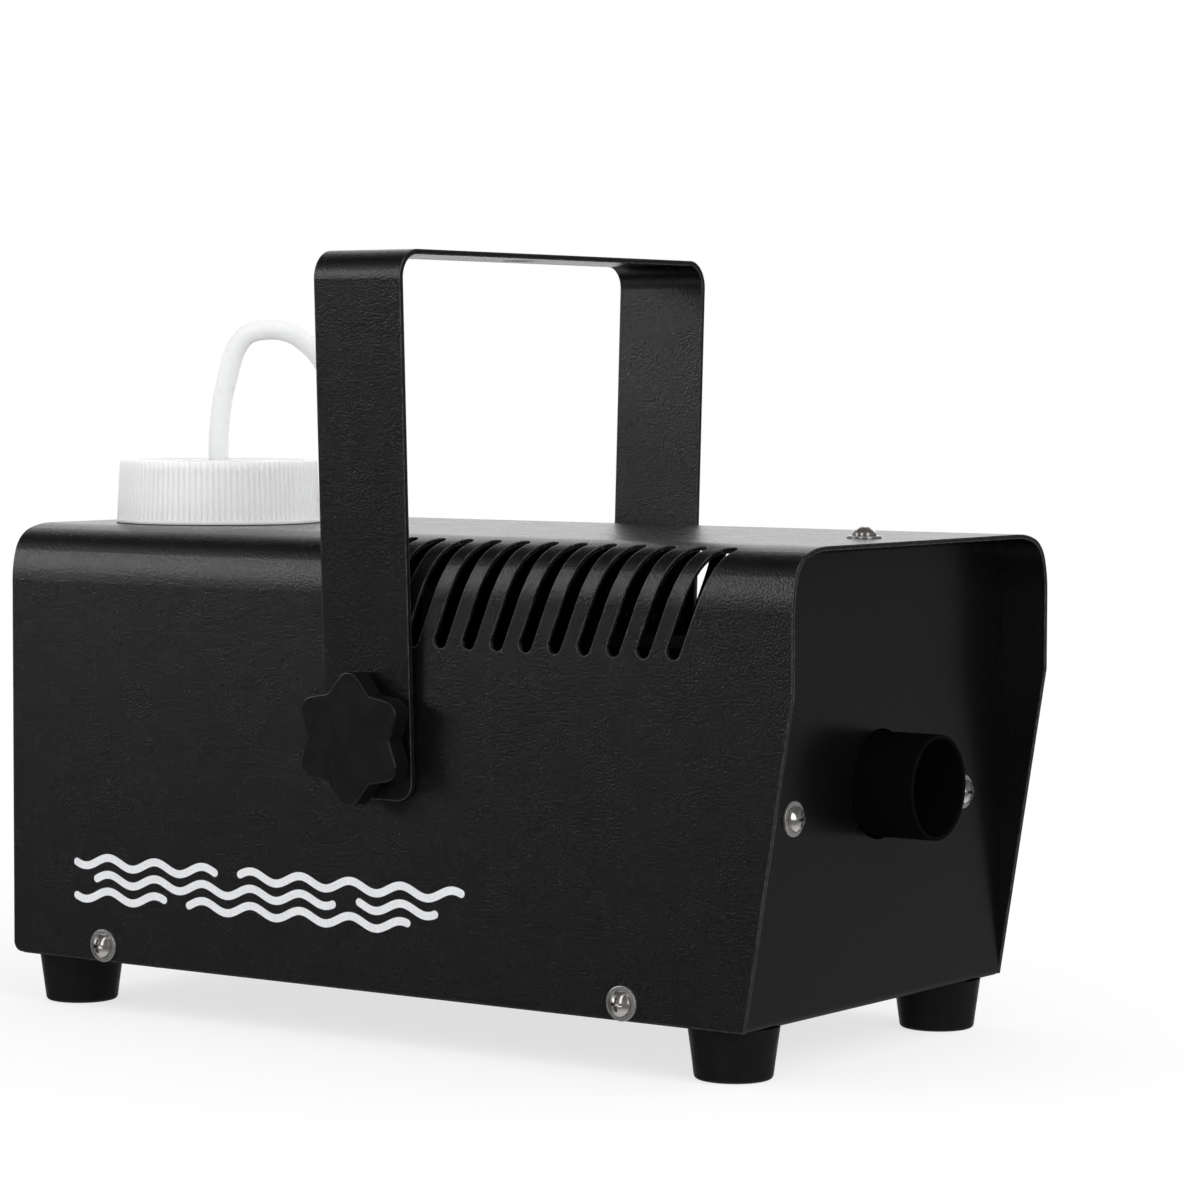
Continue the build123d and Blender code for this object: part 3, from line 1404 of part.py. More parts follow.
def wires_brown():
    pin_x, pin_z = UPPER_PIN
    inlet_to_switch = (
        (pin_x, PIN_END_Y, pin_z),
        (pin_x, 82, pin_z),
        (pin_x, 82, SWITCH_Z - 6),
        (SWITCH_X, 82, SWITCH_Z - 6),
        (SWITCH_X, SWITCH_END_Y, SWITCH_Z - 6),
    )
    switch_to_terminal = (
        (SWITCH_X, SWITCH_END_Y, SWITCH_Z + 6),
        (SWITCH_X, TERMINAL_Y[3], SWITCH_Z + 6),
        (TERMINAL_X, TERMINAL_Y[3], SWITCH_Z + 6),
        (TERMINAL_X, TERMINAL_Y[3], TERMINAL_END_Z),
    )
    terminal_to_right_leg = (
        (TERMINAL_X, TERMINAL_Y[0], TERMINAL_END_Z),
        (TERMINAL_X, TERMINAL_Y[0], 42),
        (42, 54, 42),
        (42, 19, 36),
        (ELEMENT_X, 19, 36),
        (ELEMENT_X, 19, ELEMENT_Z),
        (ELEMENT_X, ELEMENT_END_Y, ELEMENT_Z),
    )
    return wires((2.5, inlet_to_switch), (3.5, switch_to_terminal), (2, terminal_to_right_leg))


def wires_blue():
    pin_x, pin_z = LOWER_PIN
    inlet_to_terminal = (
        (pin_x, PIN_END_Y, pin_z),
        (pin_x, 82.5, pin_z),
        (pin_x, 82.5, 39),
        (pin_x, TERMINAL_Y[2], 39),
        (TERMINAL_X, TERMINAL_Y[2], 39),
        (TERMINAL_X, TERMINAL_Y[2], TERMINAL_END_Z),
    )
    terminal_to_left_leg = (
        (TERMINAL_X, TERMINAL_Y[1], TERMINAL_END_Z),
        (TERMINAL_X, TERMINAL_Y[1], 46),
        (46, 56, 46),
        (46, 18, 31),
        (-ELEMENT_X, 19, 31),
        (-ELEMENT_X, 19, ELEMENT_Z),
        (-ELEMENT_X, ELEMENT_END_Y, ELEMENT_Z),
    )
    return wires((2, inlet_to_terminal), (2, terminal_to_left_leg))


def wire_earth():
    pin_x, pin_z = MIDDLE_PIN
    inlet_to_floor = (
        (pin_x, PIN_END_Y, pin_z),
        (pin_x, 83.5, pin_z),
        (49.5, 83.5, pin_z),
        (49.5, 91, 30),
        (49.5, 91, 14.6),
    )
    return wires((2, inlet_to_floor))


# ---------------------------------------------------------------- export
# Each function's name is the name of its piece and file.
PIECES = (
    top_cover, chassis, casing_washers, casing_screws, rubber_feet, foot_screws, m3_nuts,
    handle_bracket, knob_left, knob_right, knob_stud_left, knob_stud_right,
    pivot_washers, pivot_nuts,
    fluid_bottle, bottle_cap, cap_seal, intake_tube, tube_filter, tube_grommet, bottle_cradle,
    pump_body, pump_coil, pump_yoke, pump_inlet, pump_plunger, pump_spring, pump_bracket,
    pump_mounts, outlet_tube,
    heating_element, heater_block, inlet_fitting, nozzle_tip, nozzle_shroud, insulation_wrap,
    heat_shield, front_bracket, rear_bracket, bracket_screws, thermostat, thermal_fuse,
    control_board, board_standoffs, relay, mains_transformer, terminal_block,
    power_inlet, inlet_pins, fuse_drawer, mains_fuse, switch_body, switch_rocker,
    remote_socket, remote_contacts, remote_nut, indicator_lamp,
    wires_brown, wires_blue, wire_earth,
)

for build in PIECES:
    part = build()
    part.label = build.__name__
    export_step(part, f"parts/{build.__name__}.step")
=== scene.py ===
"""A black boxy machine that draws fluid from a bottle through a tube, on a pale studio floor.

Metres, +Z up. The front faces -Y, the rear +Y, and the printed left side -X. The CAD pieces get
procedural finishes, and the bottle cap, the tube and the pump spring get finer meshes. Printed
wavy lines, the floor, the lights and the camera are added.
"""
import json
import math

import bpy
import bmesh
from mathutils import Matrix, Vector


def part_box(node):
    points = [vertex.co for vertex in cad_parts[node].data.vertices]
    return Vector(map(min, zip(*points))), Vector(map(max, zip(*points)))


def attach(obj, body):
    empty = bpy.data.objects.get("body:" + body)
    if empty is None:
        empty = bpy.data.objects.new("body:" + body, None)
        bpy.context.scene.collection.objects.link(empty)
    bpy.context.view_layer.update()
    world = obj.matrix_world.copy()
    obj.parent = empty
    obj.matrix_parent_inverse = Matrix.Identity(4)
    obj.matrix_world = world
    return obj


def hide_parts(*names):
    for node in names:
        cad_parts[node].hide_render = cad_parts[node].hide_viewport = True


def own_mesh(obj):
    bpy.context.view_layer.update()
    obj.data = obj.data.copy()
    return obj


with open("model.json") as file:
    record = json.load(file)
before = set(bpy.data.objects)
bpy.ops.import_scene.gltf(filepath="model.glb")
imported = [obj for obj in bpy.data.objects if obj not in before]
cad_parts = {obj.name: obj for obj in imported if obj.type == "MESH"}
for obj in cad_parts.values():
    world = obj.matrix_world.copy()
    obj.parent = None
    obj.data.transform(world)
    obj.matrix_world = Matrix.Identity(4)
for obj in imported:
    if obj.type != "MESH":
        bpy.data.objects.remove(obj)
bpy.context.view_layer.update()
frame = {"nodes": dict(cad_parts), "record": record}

scene = bpy.context.scene
MM = 0.001


# ------------------------------------------------------------------ node helpers
class Tree:
    """Short calls for building a node tree. Inputs may be sockets or plain values."""

    def __init__(self, owner):
        """Start an empty tree on a material or world."""
        owner.use_nodes = True
        self.tree = owner.node_tree
        self.tree.nodes.clear()

    def node(self, kind, inputs=None, **props):
        node = self.tree.nodes.new(kind)
        for name, value in props.items():
            setattr(node, name, value)
        for key, value in (inputs or {}).items():
            self.put(node.inputs[key], value)
        return node

    def put(self, socket, value):
        if isinstance(value, bpy.types.NodeSocket):
            self.tree.links.new(value, socket)
        elif socket.type == "RGBA":
            socket.default_value = (*value[:3], 1.0)
        else:
            socket.default_value = value

    def math(self, operation, a, b=0.0, clamp=False):
        inputs = {0: a, 1: b, 2: 0.0}
        return self.node(
            "ShaderNodeMath", inputs, operation=operation, use_clamp=clamp
        ).outputs[0]

    def scale(self, colour, factor):
        inputs = {0: colour, "Scale": factor}
        return self.node("ShaderNodeVectorMath", inputs, operation="SCALE").outputs[0]

    def ramp(self, value, start, end, low=0.0, high=1.0):
        """value from start..end to low..high, eased at both ends."""
        inputs = {
            "Value": value, "From Min": start, "From Max": end, "To Min": low, "To Max": high,
        }
        node = self.node("ShaderNodeMapRange", inputs, interpolation_type="SMOOTHSTEP")
        return node.outputs["Result"]

    def mix(self, factor, a, b):
        return self.node("ShaderNodeMix", {0: factor, 6: a, 7: b}, data_type="RGBA").outputs[2]

    def noise(self, where, size, detail=2.0, rough=0.5):
        """Noise with features of about size millimetres."""
        inputs = {
            "Vector": where, "Scale": 1000.0 / size, "Detail": detail, "Roughness": rough,
        }
        return self.node("ShaderNodeTexNoise", inputs).outputs["Fac"]

    def wave(self, where, scale, direction, **inputs):
        inputs = {"Vector": where, "Scale": scale, **inputs}
        return self.node(
            "ShaderNodeTexWave", inputs, bands_direction=direction
        ).outputs["Fac"]

    def bevel(self, radius):
        return self.node("ShaderNodeBevel", {"Radius": radius * MM}, samples=4).outputs[0]

    def bump(self, normal, height, distance):
        """A bump of distance millimetres on top of normal, which may be None."""
        inputs = {"Height": height, "Distance": distance * MM, "Strength": 1.0}
        if normal is not None:
            inputs["Normal"] = normal
        return self.node("ShaderNodeBump", inputs).outputs[0]


def shade(colour, factor):
    return tuple(min(1.0, x * factor) for x in colour)


# ------------------------------------------------------------------ the general finish
COAT_ROUGHNESS = 0.12
BRUSH_STRETCH = 0.02      # noise scale along the brushed axis, against 1 across it
BRUSH_LINE = 0.18         # mm, width of the brushed lines
BRUSH_ROUGHNESS = 0.25    # how far the lines vary the roughness


def wear_and_highlight_edges(T, where, colour, roughness, radius, wear_and_highlight_colour, strength):
    """Patchy lighter colour where a wide bevel turns away from the flat face: a painted
    highlight along the edges of the black coat and the black plastic, rubbed wear on the metals
    and the red plastic.
    """
    wide = T.bevel(radius)
    flat = T.node("ShaderNodeNewGeometry").outputs["Normal"]
    facing = T.node("ShaderNodeVectorMath", {0: wide, 1: flat}, operation="DOT_PRODUCT")
    turned = T.math("SUBTRACT", 1.0, facing.outputs[1])
    patches = T.noise(where, size=1.6, detail=3.0, rough=0.6)
    amount = T.math(
        "MULTIPLY",
        T.ramp(turned, start=0.02, end=0.20),
        T.ramp(patches, start=0.35, end=0.65, low=0.25, high=1.0),
    )
    amount = T.math("MULTIPLY", amount, strength, clamp=True)
    colour = T.mix(amount, colour, wear_and_highlight_colour)
    polish = T.math("SUBTRACT", 1.0, T.math("MULTIPLY", amount, 0.25))
    return colour, T.math("MULTIPLY", roughness, polish)


def material(
    name, base, rough=0.5, metal=0.0, spec=0.5, grain=None, speck=None, peel=None,
    mottle=(6.0, 0.10), rough_spread=0.06, brush=None, edge=0.25, edge_wear_and_highlight=None, pattern=None,
    coat=0.0, sss=None, transmission=0.0, ior=1.5, sheen=0.0, emission=None, painted_crease_shade=None,
):
    """One procedural finish. Lengths are in millimetres.
    grain (size, height): fine bump.
    speck (size, amount): fine light and dark flecks in the colour.
    peel (size, height): slow waviness.
    mottle (size, amount): slow change of colour; its noise also varies the roughness.
    rough_spread: how far the roughness varies either way.
    brush (axis, height): bump of lines along an axis, 0 to 2 for X to Z.
    edge: radius of the rounded edges.
    edge_wear_and_highlight (radius, colour, amount): lighter edges, a painted highlight on the
    black coat and black plastic and rubbed wear on the metals.
    painted_crease_shade (distance, amount): painted shade that darkens the colour in narrow
    gaps.
    sss (weight, scale): light scattered under the surface.
    emission (colour, strength): glow.
    pattern: function(tree, where, colour) -> (colour, (height, distance) or None)."""
    finish = bpy.data.materials.new(name)
    finish.diffuse_color = (*base, 1.0)
    T = Tree(finish)
    out = T.node("ShaderNodeOutputMaterial")
    bsdf = T.node(
        "ShaderNodeBsdfPrincipled",
        {
            "Base Color": base, "Roughness": rough, "Metallic": metal,
            "Specular IOR Level": spec, "IOR": ior,
        },
    )
    T.put(out.inputs["Surface"], bsdf.outputs[0])
    where = T.node("ShaderNodeTexCoord").outputs["Object"]

    # Colour and roughness
    mottle_size, mottle_amount = mottle
    slow = T.noise(where, mottle_size, detail=3.0)
    colour = T.mix(slow, shade(base, 1.0 - mottle_amount), shade(base, 1.0 + mottle_amount))
    relief = None
    if pattern:
        colour, relief = pattern(T, where, colour)
    if speck:
        size, amount = speck
        flecks = T.noise(where, size, detail=1.0, rough=0.6)
        factor = T.ramp(flecks, start=0.30, end=0.70, low=1.0 - amount, high=1.0 + amount)
        colour = T.scale(colour, factor)
    roughness = T.ramp(
        slow, start=0.3, end=0.7, low=rough - rough_spread, high=rough + rough_spread
    )
    if brush:
        stretch = [1.0, 1.0, 1.0]
        stretch[brush[0]] = BRUSH_STRETCH
        along = T.node("ShaderNodeMapping", {"Vector": where, "Scale": stretch}).outputs[0]
        lines = T.noise(along, BRUSH_LINE)
        offset = T.math("MULTIPLY", T.math("SUBTRACT", lines, 0.5), BRUSH_ROUGHNESS)
        roughness = T.math("ADD", roughness, offset)

    # Edges and bumps
    normal = T.bevel(edge) if edge else None
    # Lighter edges: a painted highlight on the black coat and black plastic, rubbed wear on the
    # metals.
    if edge_wear_and_highlight:
        colour, roughness = wear_and_highlight_edges(T, where, colour, roughness, *edge_wear_and_highlight)
    for layer, detail in ((grain, 2.0), (peel, 1.0)):
        if layer:
            size, height = layer
            normal = T.bump(normal, T.noise(where, size, detail, rough=0.55), height)
    if brush:
        normal = T.bump(normal, lines, brush[1])
    if relief:
        normal = T.bump(normal, *relief)

    # Painted shade: ambient occlusion darkens the colour in narrow gaps.
    if painted_crease_shade:
        distance, amount = painted_crease_shade
        inputs = {"Distance": distance * MM}
        open_sky = T.node("ShaderNodeAmbientOcclusion", inputs, samples=8).outputs["AO"]
        factor = T.ramp(open_sky, start=0.25, end=0.80, low=1.0 - amount, high=1.0)
        colour = T.scale(colour, factor)

    settings = {"Base Color": colour, "Roughness": roughness}
    if normal is not None:
        settings["Normal"] = normal
    if coat:
        settings.update({"Coat Weight": coat, "Coat Roughness": COAT_ROUGHNESS})
    if sss:
        settings["Subsurface Weight"] = sss[0]
        settings["Subsurface Radius"] = (1.0, 1.0, 1.0)
        settings["Subsurface Scale"] = sss[1] * MM
    if transmission:
        settings["Transmission Weight"] = transmission
    if sheen:
        settings.update({"Sheen Weight": sheen, "Sheen Roughness": 0.5})
    if emission:
        settings.update({"Emission Color": emission[0], "Emission Strength": emission[1]})
    for key, value in settings.items():
        T.put(bsdf.inputs[key], value)
    return finish


# ------------------------------------------------------------------ patterns
FULL_TURN, HALF_TURN = 6.283, 3.14


def wave_scale(pitch):
    """Wave scale for a nominal pitch in mm. The bands lie about 0.63 of it apart."""
    return 1000.0 / pitch / FULL_TURN * HALF_TURN


def weave(pitch):
    def pattern(T, where, colour):
        scale = wave_scale(pitch)
        across_x, across_z, across_y = (
            T.wave(where, scale, direction, Distortion=0.6) for direction in "XZY"
        )
        threads = T.math(
            "MULTIPLY",
            T.math("MAXIMUM", across_x, across_z),
            T.math("ADD", 0.5, T.math("MULTIPLY", across_y, 0.5)),
        )
        dark = T.scale(colour, 0.55)
        return T.mix(threads, dark, colour), (threads, 0.15)

    return pattern


def board_tracks(T, where, colour):
    """Green tracks in a brick layout, with pale round pads."""
    bricks = T.node(
        "ShaderNodeTexBrick",
        {
            "Vector": where, "Scale": 180.0, "Mortar Size": 0.02,
            "Brick Width": 0.9, "Row Height": 0.22,
        },
    )
    tracks = T.ramp(bricks.outputs["Fac"], start=0.2, end=0.8)
    cells = T.node("ShaderNodeTexVoronoi", {"Vector": where, "Scale": 420.0}, feature="F1")
    pads = T.ramp(cells.outputs["Distance"], start=0.22, end=0.14)
    tracked = T.mix(tracks, colour, (0.06, 0.34, 0.12))
    return T.mix(pads, tracked, (0.75, 0.72, 0.66)), (T.math("ADD", tracks, pads), 0.03)


def laminated(axis, pitch, dark):
    """Layers stacked along an axis, with the dips at dark times the colour."""
    def pattern(T, where, colour):
        layers = T.wave(where, wave_scale(pitch), axis, Distortion=0.15, Detail=1.0)
        return T.mix(layers, T.scale(colour, dark), colour), (layers, 0.08)

    return pattern


def moulded_lines(axis, pitch, height):
    def pattern(T, where, colour):
        return colour, (T.wave(where, wave_scale(pitch), axis), height)

    return pattern


def shade_inside_casing(T, where, colour):
    """Painted shade: darkens the run inside the casing, with the change between two heights in
    metres.
    """
    height = T.node("ShaderNodeSeparateXYZ", {0: where}).outputs["Z"]
    return T.scale(colour, T.ramp(height, start=0.106, end=0.115, low=0.06, high=1.0)), None


def striped(share):
    """Diagonal yellow stripes of the given strength, with a faint relief."""
    def pattern(T, where, colour):
        bands = T.wave(where, 55.0, "DIAGONAL")
        stripes = T.ramp(bands, start=0.45, end=0.55, low=0.0, high=share)
        return T.mix(stripes, colour, (0.70, 0.60, 0.05)), (bands, 0.01)

    return pattern


# ------------------------------------------------------------------ materials
BLACK = (0.0034, 0.0034, 0.0036)
MAT = {}    # by slot name

# Black coats and plastics
# The powder coat's lighter edge colour is a painted highlight along the sheet edges.
MAT["black_coat"] = material(
    "powder_coat", BLACK, rough=0.27, rough_spread=0.012, grain=(0.50, 0.110),
    speck=(0.5, 0.35), peel=(5.0, 0.003), mottle=(9.0, 0.12), edge=0.50,
    edge_wear_and_highlight=(0.60, (0.10, 0.10, 0.102), 0.9),
)
# A darker copy of the black coat for the recessed front panel: painted shade of the recess
# behind the cover's front lip.
MAT["panel_coat"] = material(
    "powder_coat_panel_shaded", shade(BLACK, 0.6), rough=0.27, rough_spread=0.012,
    grain=(0.40, 0.010), speck=(0.5, 0.20), peel=(5.0, 0.002), mottle=(9.0, 0.12),
    edge=0.25, edge_wear_and_highlight=(0.5, (0.030, 0.030, 0.031), 0.6),
)
MAT["black_enamel"] = material(
    "stove_enamel", (0.0022, 0.0022, 0.0023), spec=0.03, rough=0.82, rough_spread=0.05,
    grain=(0.25, 0.006), speck=(0.4, 0.15), mottle=(4.0, 0.15), edge=0.15,
    edge_wear_and_highlight=(0.4, (0.03, 0.028, 0.026), 0.8),
)
MAT["black_rubber"] = material(
    "moulded_rubber", (0.0040, 0.0040, 0.0041), spec=0.22, rough=0.46, rough_spread=0.06,
    grain=(0.30, 0.012), speck=(0.6, 0.2), mottle=(5.0, 0.15), edge=0.3,
    edge_wear_and_highlight=(0.6, (0.012, 0.012, 0.0125), 0.5),
)
# The knob plastic's lighter edge colour is a painted highlight along its edges.
MAT["black_plastic"] = material(
    "moulded_black_plastic", (0.0040, 0.0040, 0.0042), rough=0.27, rough_spread=0.03,
    grain=(0.22, 0.004), speck=(0.35, 0.15), mottle=(6.0, 0.12), edge=0.2,
    edge_wear_and_highlight=(0.4, (0.050, 0.050, 0.051), 0.7), spec=0.36,
)
MAT["black_nylon"] = material(
    "nylon_washer", (0.006, 0.006, 0.0063), rough=0.5, grain=(0.4, 0.006),
    mottle=(3.0, 0.2), edge=0.15,
)

# Coloured plastics
MAT["green_plastic"] = material(
    "terminal_plastic", (0.05, 0.25, 0.12), rough=0.35, grain=(0.3, 0.004),
    mottle=(3.0, 0.1), edge=0.2, pattern=moulded_lines("X", pitch=5.0, height=0.15),
)
MAT["blue_plastic"] = material(
    "relay_plastic", (0.03, 0.12, 0.4), rough=0.3, grain=(0.3, 0.003),
    mottle=(4.0, 0.08), edge=0.3,
)
MAT["red_plastic"] = material(
    "rocker_plastic", (0.40, 0.018, 0.014), rough=0.28, grain=(0.25, 0.003),
    mottle=(4.0, 0.08), edge=0.3, edge_wear_and_highlight=(0.5, (0.55, 0.10, 0.08), 0.4), coat=0.15,
)
MAT["lamp_red"] = material(
    "lamp_lens", (0.50, 0.022, 0.012), rough=0.14, rough_spread=0.03, grain=(0.5, 0.002),
    mottle=(1.5, 0.2), edge=0.2, pattern=moulded_lines("X", pitch=0.8, height=0.12),
    transmission=0.35, coat=0.4, emission=((0.6, 0.02, 0.01), 0.12),
)
MAT["coil_plastic"] = material(
    "coil_plastic", (0.05, 0.05, 0.06), rough=0.45, grain=(0.4, 0.010),
    mottle=(4.0, 0.15), edge=0.3, pattern=laminated("Z", pitch=1.1, dark=0.7),
)
MAT["transformer"] = material(
    "transformer_wrap", (0.20, 0.16, 0.05), rough=0.35, grain=(0.6, 0.008),
    mottle=(5.0, 0.15), edge=0.3, pattern=laminated("X", pitch=0.7, dark=0.45),
)

# Milky plastics and foam
MAT["milky_plastic"] = material(
    "milky_polypropylene", (0.87, 0.875, 0.88), rough=0.36, rough_spread=0.05,
    grain=(0.35, 0.004), mottle=(7.0, 0.03), edge=0.15, sss=(0.7, 3.0),
)
MAT["milky_silicone"] = material(
    "milky_silicone", (0.83, 0.835, 0.84), rough=0.30, rough_spread=0.05,
    grain=(0.6, 0.004), mottle=(6.0, 0.03), edge=0.0, sss=(0.7, 2.0), ior=1.41,
    pattern=shade_inside_casing,
)
MAT["seal_foam"] = material(
    "seal_foam", (0.70, 0.70, 0.68), rough=0.8, grain=(0.25, 0.05), speck=(0.3, 0.1),
    mottle=(2.0, 0.08), edge=0.2,
)

# Metals
# The crease darkening on both nickel finishes is painted shade.
MAT["nickel"] = material(
    "nickel_plate", (0.70, 0.68, 0.66), rough=0.14, rough_spread=0.02, metal=0.94,
    grain=(0.30, 0.001), speck=(0.25, 0.04), mottle=(1.2, 0.05), edge=0.10,
    edge_wear_and_highlight=(0.20, (0.86, 0.84, 0.81), 0.5), painted_crease_shade=(0.7, 0.96),
)
MAT["nickel_washer"] = material(
    "nickel_washer", (0.46, 0.45, 0.44), rough=0.26, rough_spread=0.03, metal=0.80,
    grain=(0.30, 0.001), speck=(0.25, 0.04), mottle=(1.2, 0.05), edge=0.10,
    edge_wear_and_highlight=(0.20, (0.62, 0.60, 0.58), 0.5), painted_crease_shade=(0.45, 0.95),
)
MAT["zinc_steel"] = material(
    "zinc_plate", (0.52, 0.53, 0.54), rough=0.34, rough_spread=0.10, metal=1.0,
    grain=(0.8, 0.003), mottle=(7.0, 0.16), brush=(2, 0.004), edge=0.15,
    edge_wear_and_highlight=(0.4, (0.70, 0.70, 0.70), 0.5),
)
MAT["brass"] = material(
    "turned_brass", (0.70, 0.50, 0.20), rough=0.27, rough_spread=0.07, metal=1.0,
    grain=(0.5, 0.002), mottle=(3.0, 0.15), edge=0.15,
    pattern=moulded_lines("Z", pitch=0.35, height=0.01),
)
MAT["cast_aluminium"] = material(
    "cast_aluminium", (0.58, 0.58, 0.59), rough=0.50, rough_spread=0.10, metal=1.0,
    grain=(0.9, 0.05), speck=(0.7, 0.15), peel=(4.0, 0.05), mottle=(8.0, 0.15), edge=0.4,
)

# Blanket, board, glass, wires and ink
MAT["glass_fibre"] = material(
    "glass_fibre_blanket", (0.74, 0.71, 0.64), rough=0.85, grain=(0.25, 0.03),
    mottle=(6.0, 0.12), edge=0.5, pattern=weave(pitch=1.4), sheen=0.3,
)
MAT["board_green"] = material(
    "circuit_board", (0.02, 0.16, 0.06), rough=0.32, grain=(0.4, 0.003),
    mottle=(5.0, 0.12), edge=0.15, pattern=board_tracks,
)
MAT["fuse_glass"] = material(
    "fuse_glass", (0.80, 0.85, 0.85), rough=0.08, rough_spread=0.02, grain=(0.8, 0.001),
    mottle=(2.0, 0.05), edge=0.1, transmission=0.8,
)
# slot, colour, strength of the yellow stripes
for slot_name, wire_colour, stripe_share in (
    ("wire_brown", (0.12, 0.05, 0.02), 0.0),
    ("wire_blue", (0.03, 0.10, 0.40), 0.0),
    ("wire_green", (0.10, 0.35, 0.05), 1.0),
):
    MAT[slot_name] = material(
        slot_name, wire_colour, rough=0.38, grain=(0.5, 0.006), mottle=(4.0, 0.12),
        edge=0.0, pattern=striped(stripe_share),
    )
MAT["ink"] = material(
    "screen_print_ink", (0.70, 0.71, 0.73), rough=0.50, rough_spread=0.05,
    grain=(0.35, 0.010), speck=(0.45, 0.06), mottle=(5.0, 0.05), edge=0.0,
)

# Pieces whose finish differs from the one named by their slot
SPECIAL = {
    "chassis": "panel_coat",
    "casing_washers": "nickel_washer",
    "mains_transformer": "transformer",
}
SLOT_OF = {part["node"]: part["material_slot"] for part in frame["record"]["subparts"]}
for piece_name, piece in frame["nodes"].items():
    finish = MAT[SPECIAL.get(piece_name, SLOT_OF[piece_name])]
    if not piece.material_slots:
        piece.data.materials.append(finish)
    for material_slot in piece.material_slots:
        material_slot.material = finish


# ------------------------------------------------------------------ mesh helpers
def add_object(name, data):
    obj = bpy.data.objects.new(name, data)
    scene.collection.objects.link(obj)
    return obj


def mesh_object(name, verts, faces, finish):
    """A smooth-shaded mesh with its normals facing out."""
    mesh = bpy.data.meshes.new(name)
    mesh.from_pydata([tuple(v) for v in verts], [], faces)
    mesh.validate()
    mesh.update()
    bm = bmesh.new()
    bm.from_mesh(mesh)
    bmesh.ops.recalc_face_normals(bm, faces=bm.faces)
    bm.to_mesh(mesh)
    bm.free()
    for polygon in mesh.polygons:
        polygon.use_smooth = True
    mesh.materials.append(finish)
    return add_object(name, mesh)


def ring_faces(rings, sides):
    """Quads between successive rings of points, with the last ring joined to the first."""
    faces = []
    for j in range(rings):
        this, following = j * sides, (j + 1) % rings * sides
        for i in range(sides):
            n = (i + 1) % sides
            faces.append((this + i, this + n, following + n, following + i))
    return faces


def sharpen(obj, degrees):
    """Keep edges over the angle sharp."""
    bm = bmesh.new()
    bm.from_mesh(obj.data)
    limit = math.radians(degrees)
    for edge in bm.edges:
        edge.smooth = not (len(edge.link_faces) == 2 and edge.calc_face_angle(0.0) > limit)
    bm.to_mesh(obj.data)
    bm.free()


def middle_xy(lo, hi):
    return (lo.x + hi.x) / 2, (lo.y + hi.y) / 2


# ------------------------------------------------------------------ ribbed bottle cap
cap_lo, cap_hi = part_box("bottle_cap")
cap_x, cap_y = middle_xy(cap_lo, cap_hi)
cap_r = (cap_hi.x - cap_lo.x) / 2          # at the bottom rim
cap_low, cap_top = cap_lo.z, cap_hi.z
TAPER = 0.8 * MM                           # the wall leans in by this much over the height
RIBS = 106
PER_RIB = 8                                # points round each rib
GROOVE = 0.36 * MM                         # depth between the ribs
GROOVE_SHARPNESS = 0.7                     # power on the rib's sine; under 1 narrows the groove
RIB_INSET = 0.10 * MM                      # rib crests inside the wall line
RIB_ROWS = 8

# Bottom rim: inset from the outer radius, rise from the bottom, in mm
CAP_RIM = [(1.8, 0.0), (0.25, 0.0), (0.05, 0.08), (0.0, 0.25)]
# Top shoulder: inset from the wall, drop from the top, groove depth, in mm
CAP_SHOULDER = [
    (0.12, 0.24, 0.12), (0.20, 0.08, 0.0), (0.36, 0.005, 0.0),
    (0.7, 0.0, 0.0), (2.6, 0.0, 0.0), (2.9, 0.25, 0.0),
]
# Top face, in through the centre hole and out along the underside: radius, drop, in mm
CAP_FACE = [
    (9.6, 0.28), (9.3, 0.02), (3.0, 0.0), (2.62, 0.12),
    (2.6, 1.45), (2.75, 1.6), (23.3, 1.6), (23.6, 2.0),
]
INNER_R = CAP_FACE[-1][0] * MM             # inner wall
INNER_RISE = 0.3 * MM                      # its lower end, above the bottom


def wall(z):
    return cap_r - TAPER * (z - cap_low) / (cap_top - cap_low)


def cap_profile():
    """The closed section as (radius, height, groove depth)."""
    band_top = cap_low + 0.95 * MM         # the plain band under the ribs
    band_r = wall(band_top)
    rib_top = cap_top - 0.40 * MM
    top_r = wall(cap_top)
    rows = [(cap_r - inset * MM, cap_low + rise * MM, 0.0) for inset, rise in CAP_RIM]
    rows += [
        (band_r, band_top - 0.15 * MM, 0.0),
        (band_r - 0.08 * MM, band_top, 0.0),
        (band_r - RIB_INSET, band_top + 0.03 * MM, GROOVE),
    ]
    for k in range(1, RIB_ROWS + 1):
        z = band_top + (rib_top - band_top) * k / RIB_ROWS
        rows.append((wall(z) - RIB_INSET, z, GROOVE * (1.0 if k < RIB_ROWS else 0.8)))
    rows += [
        (top_r - inset * MM, cap_top - drop * MM, depth * MM)
        for inset, drop, depth in CAP_SHOULDER
    ]
    rows += [(r * MM, cap_top - drop * MM, 0.0) for r, drop in CAP_FACE]
    rows.append((INNER_R, cap_low + INNER_RISE, 0.0))
    return rows


def ribbed_cap():
    rows = cap_profile()
    count = RIBS * PER_RIB
    verts = []
    for radius, z, depth in rows:
        for i in range(count):
            angle = 2 * math.pi * i / count
            # 0 in the groove, 1 on the crest
            crest = abs(math.sin(RIBS * angle / 2)) ** GROOVE_SHARPNESS
            r = radius - depth * (1.0 - crest)
            verts.append((cap_x + r * math.cos(angle), cap_y + r * math.sin(angle), z))
    faces = ring_faces(len(rows), count)
    return mesh_object("cap_ribbed", verts, faces, MAT["milky_plastic"])


cap = ribbed_cap()
sharpen(cap, degrees=50)
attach(cap, "cap")
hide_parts("bottle_cap")


# ------------------------------------------------------------------ suction tube
# Straight up the cap's axis, over in an arch, down through the grommet to the pump.
TUBE_R, BORE_R = 2.5 * MM, 1.5 * MM
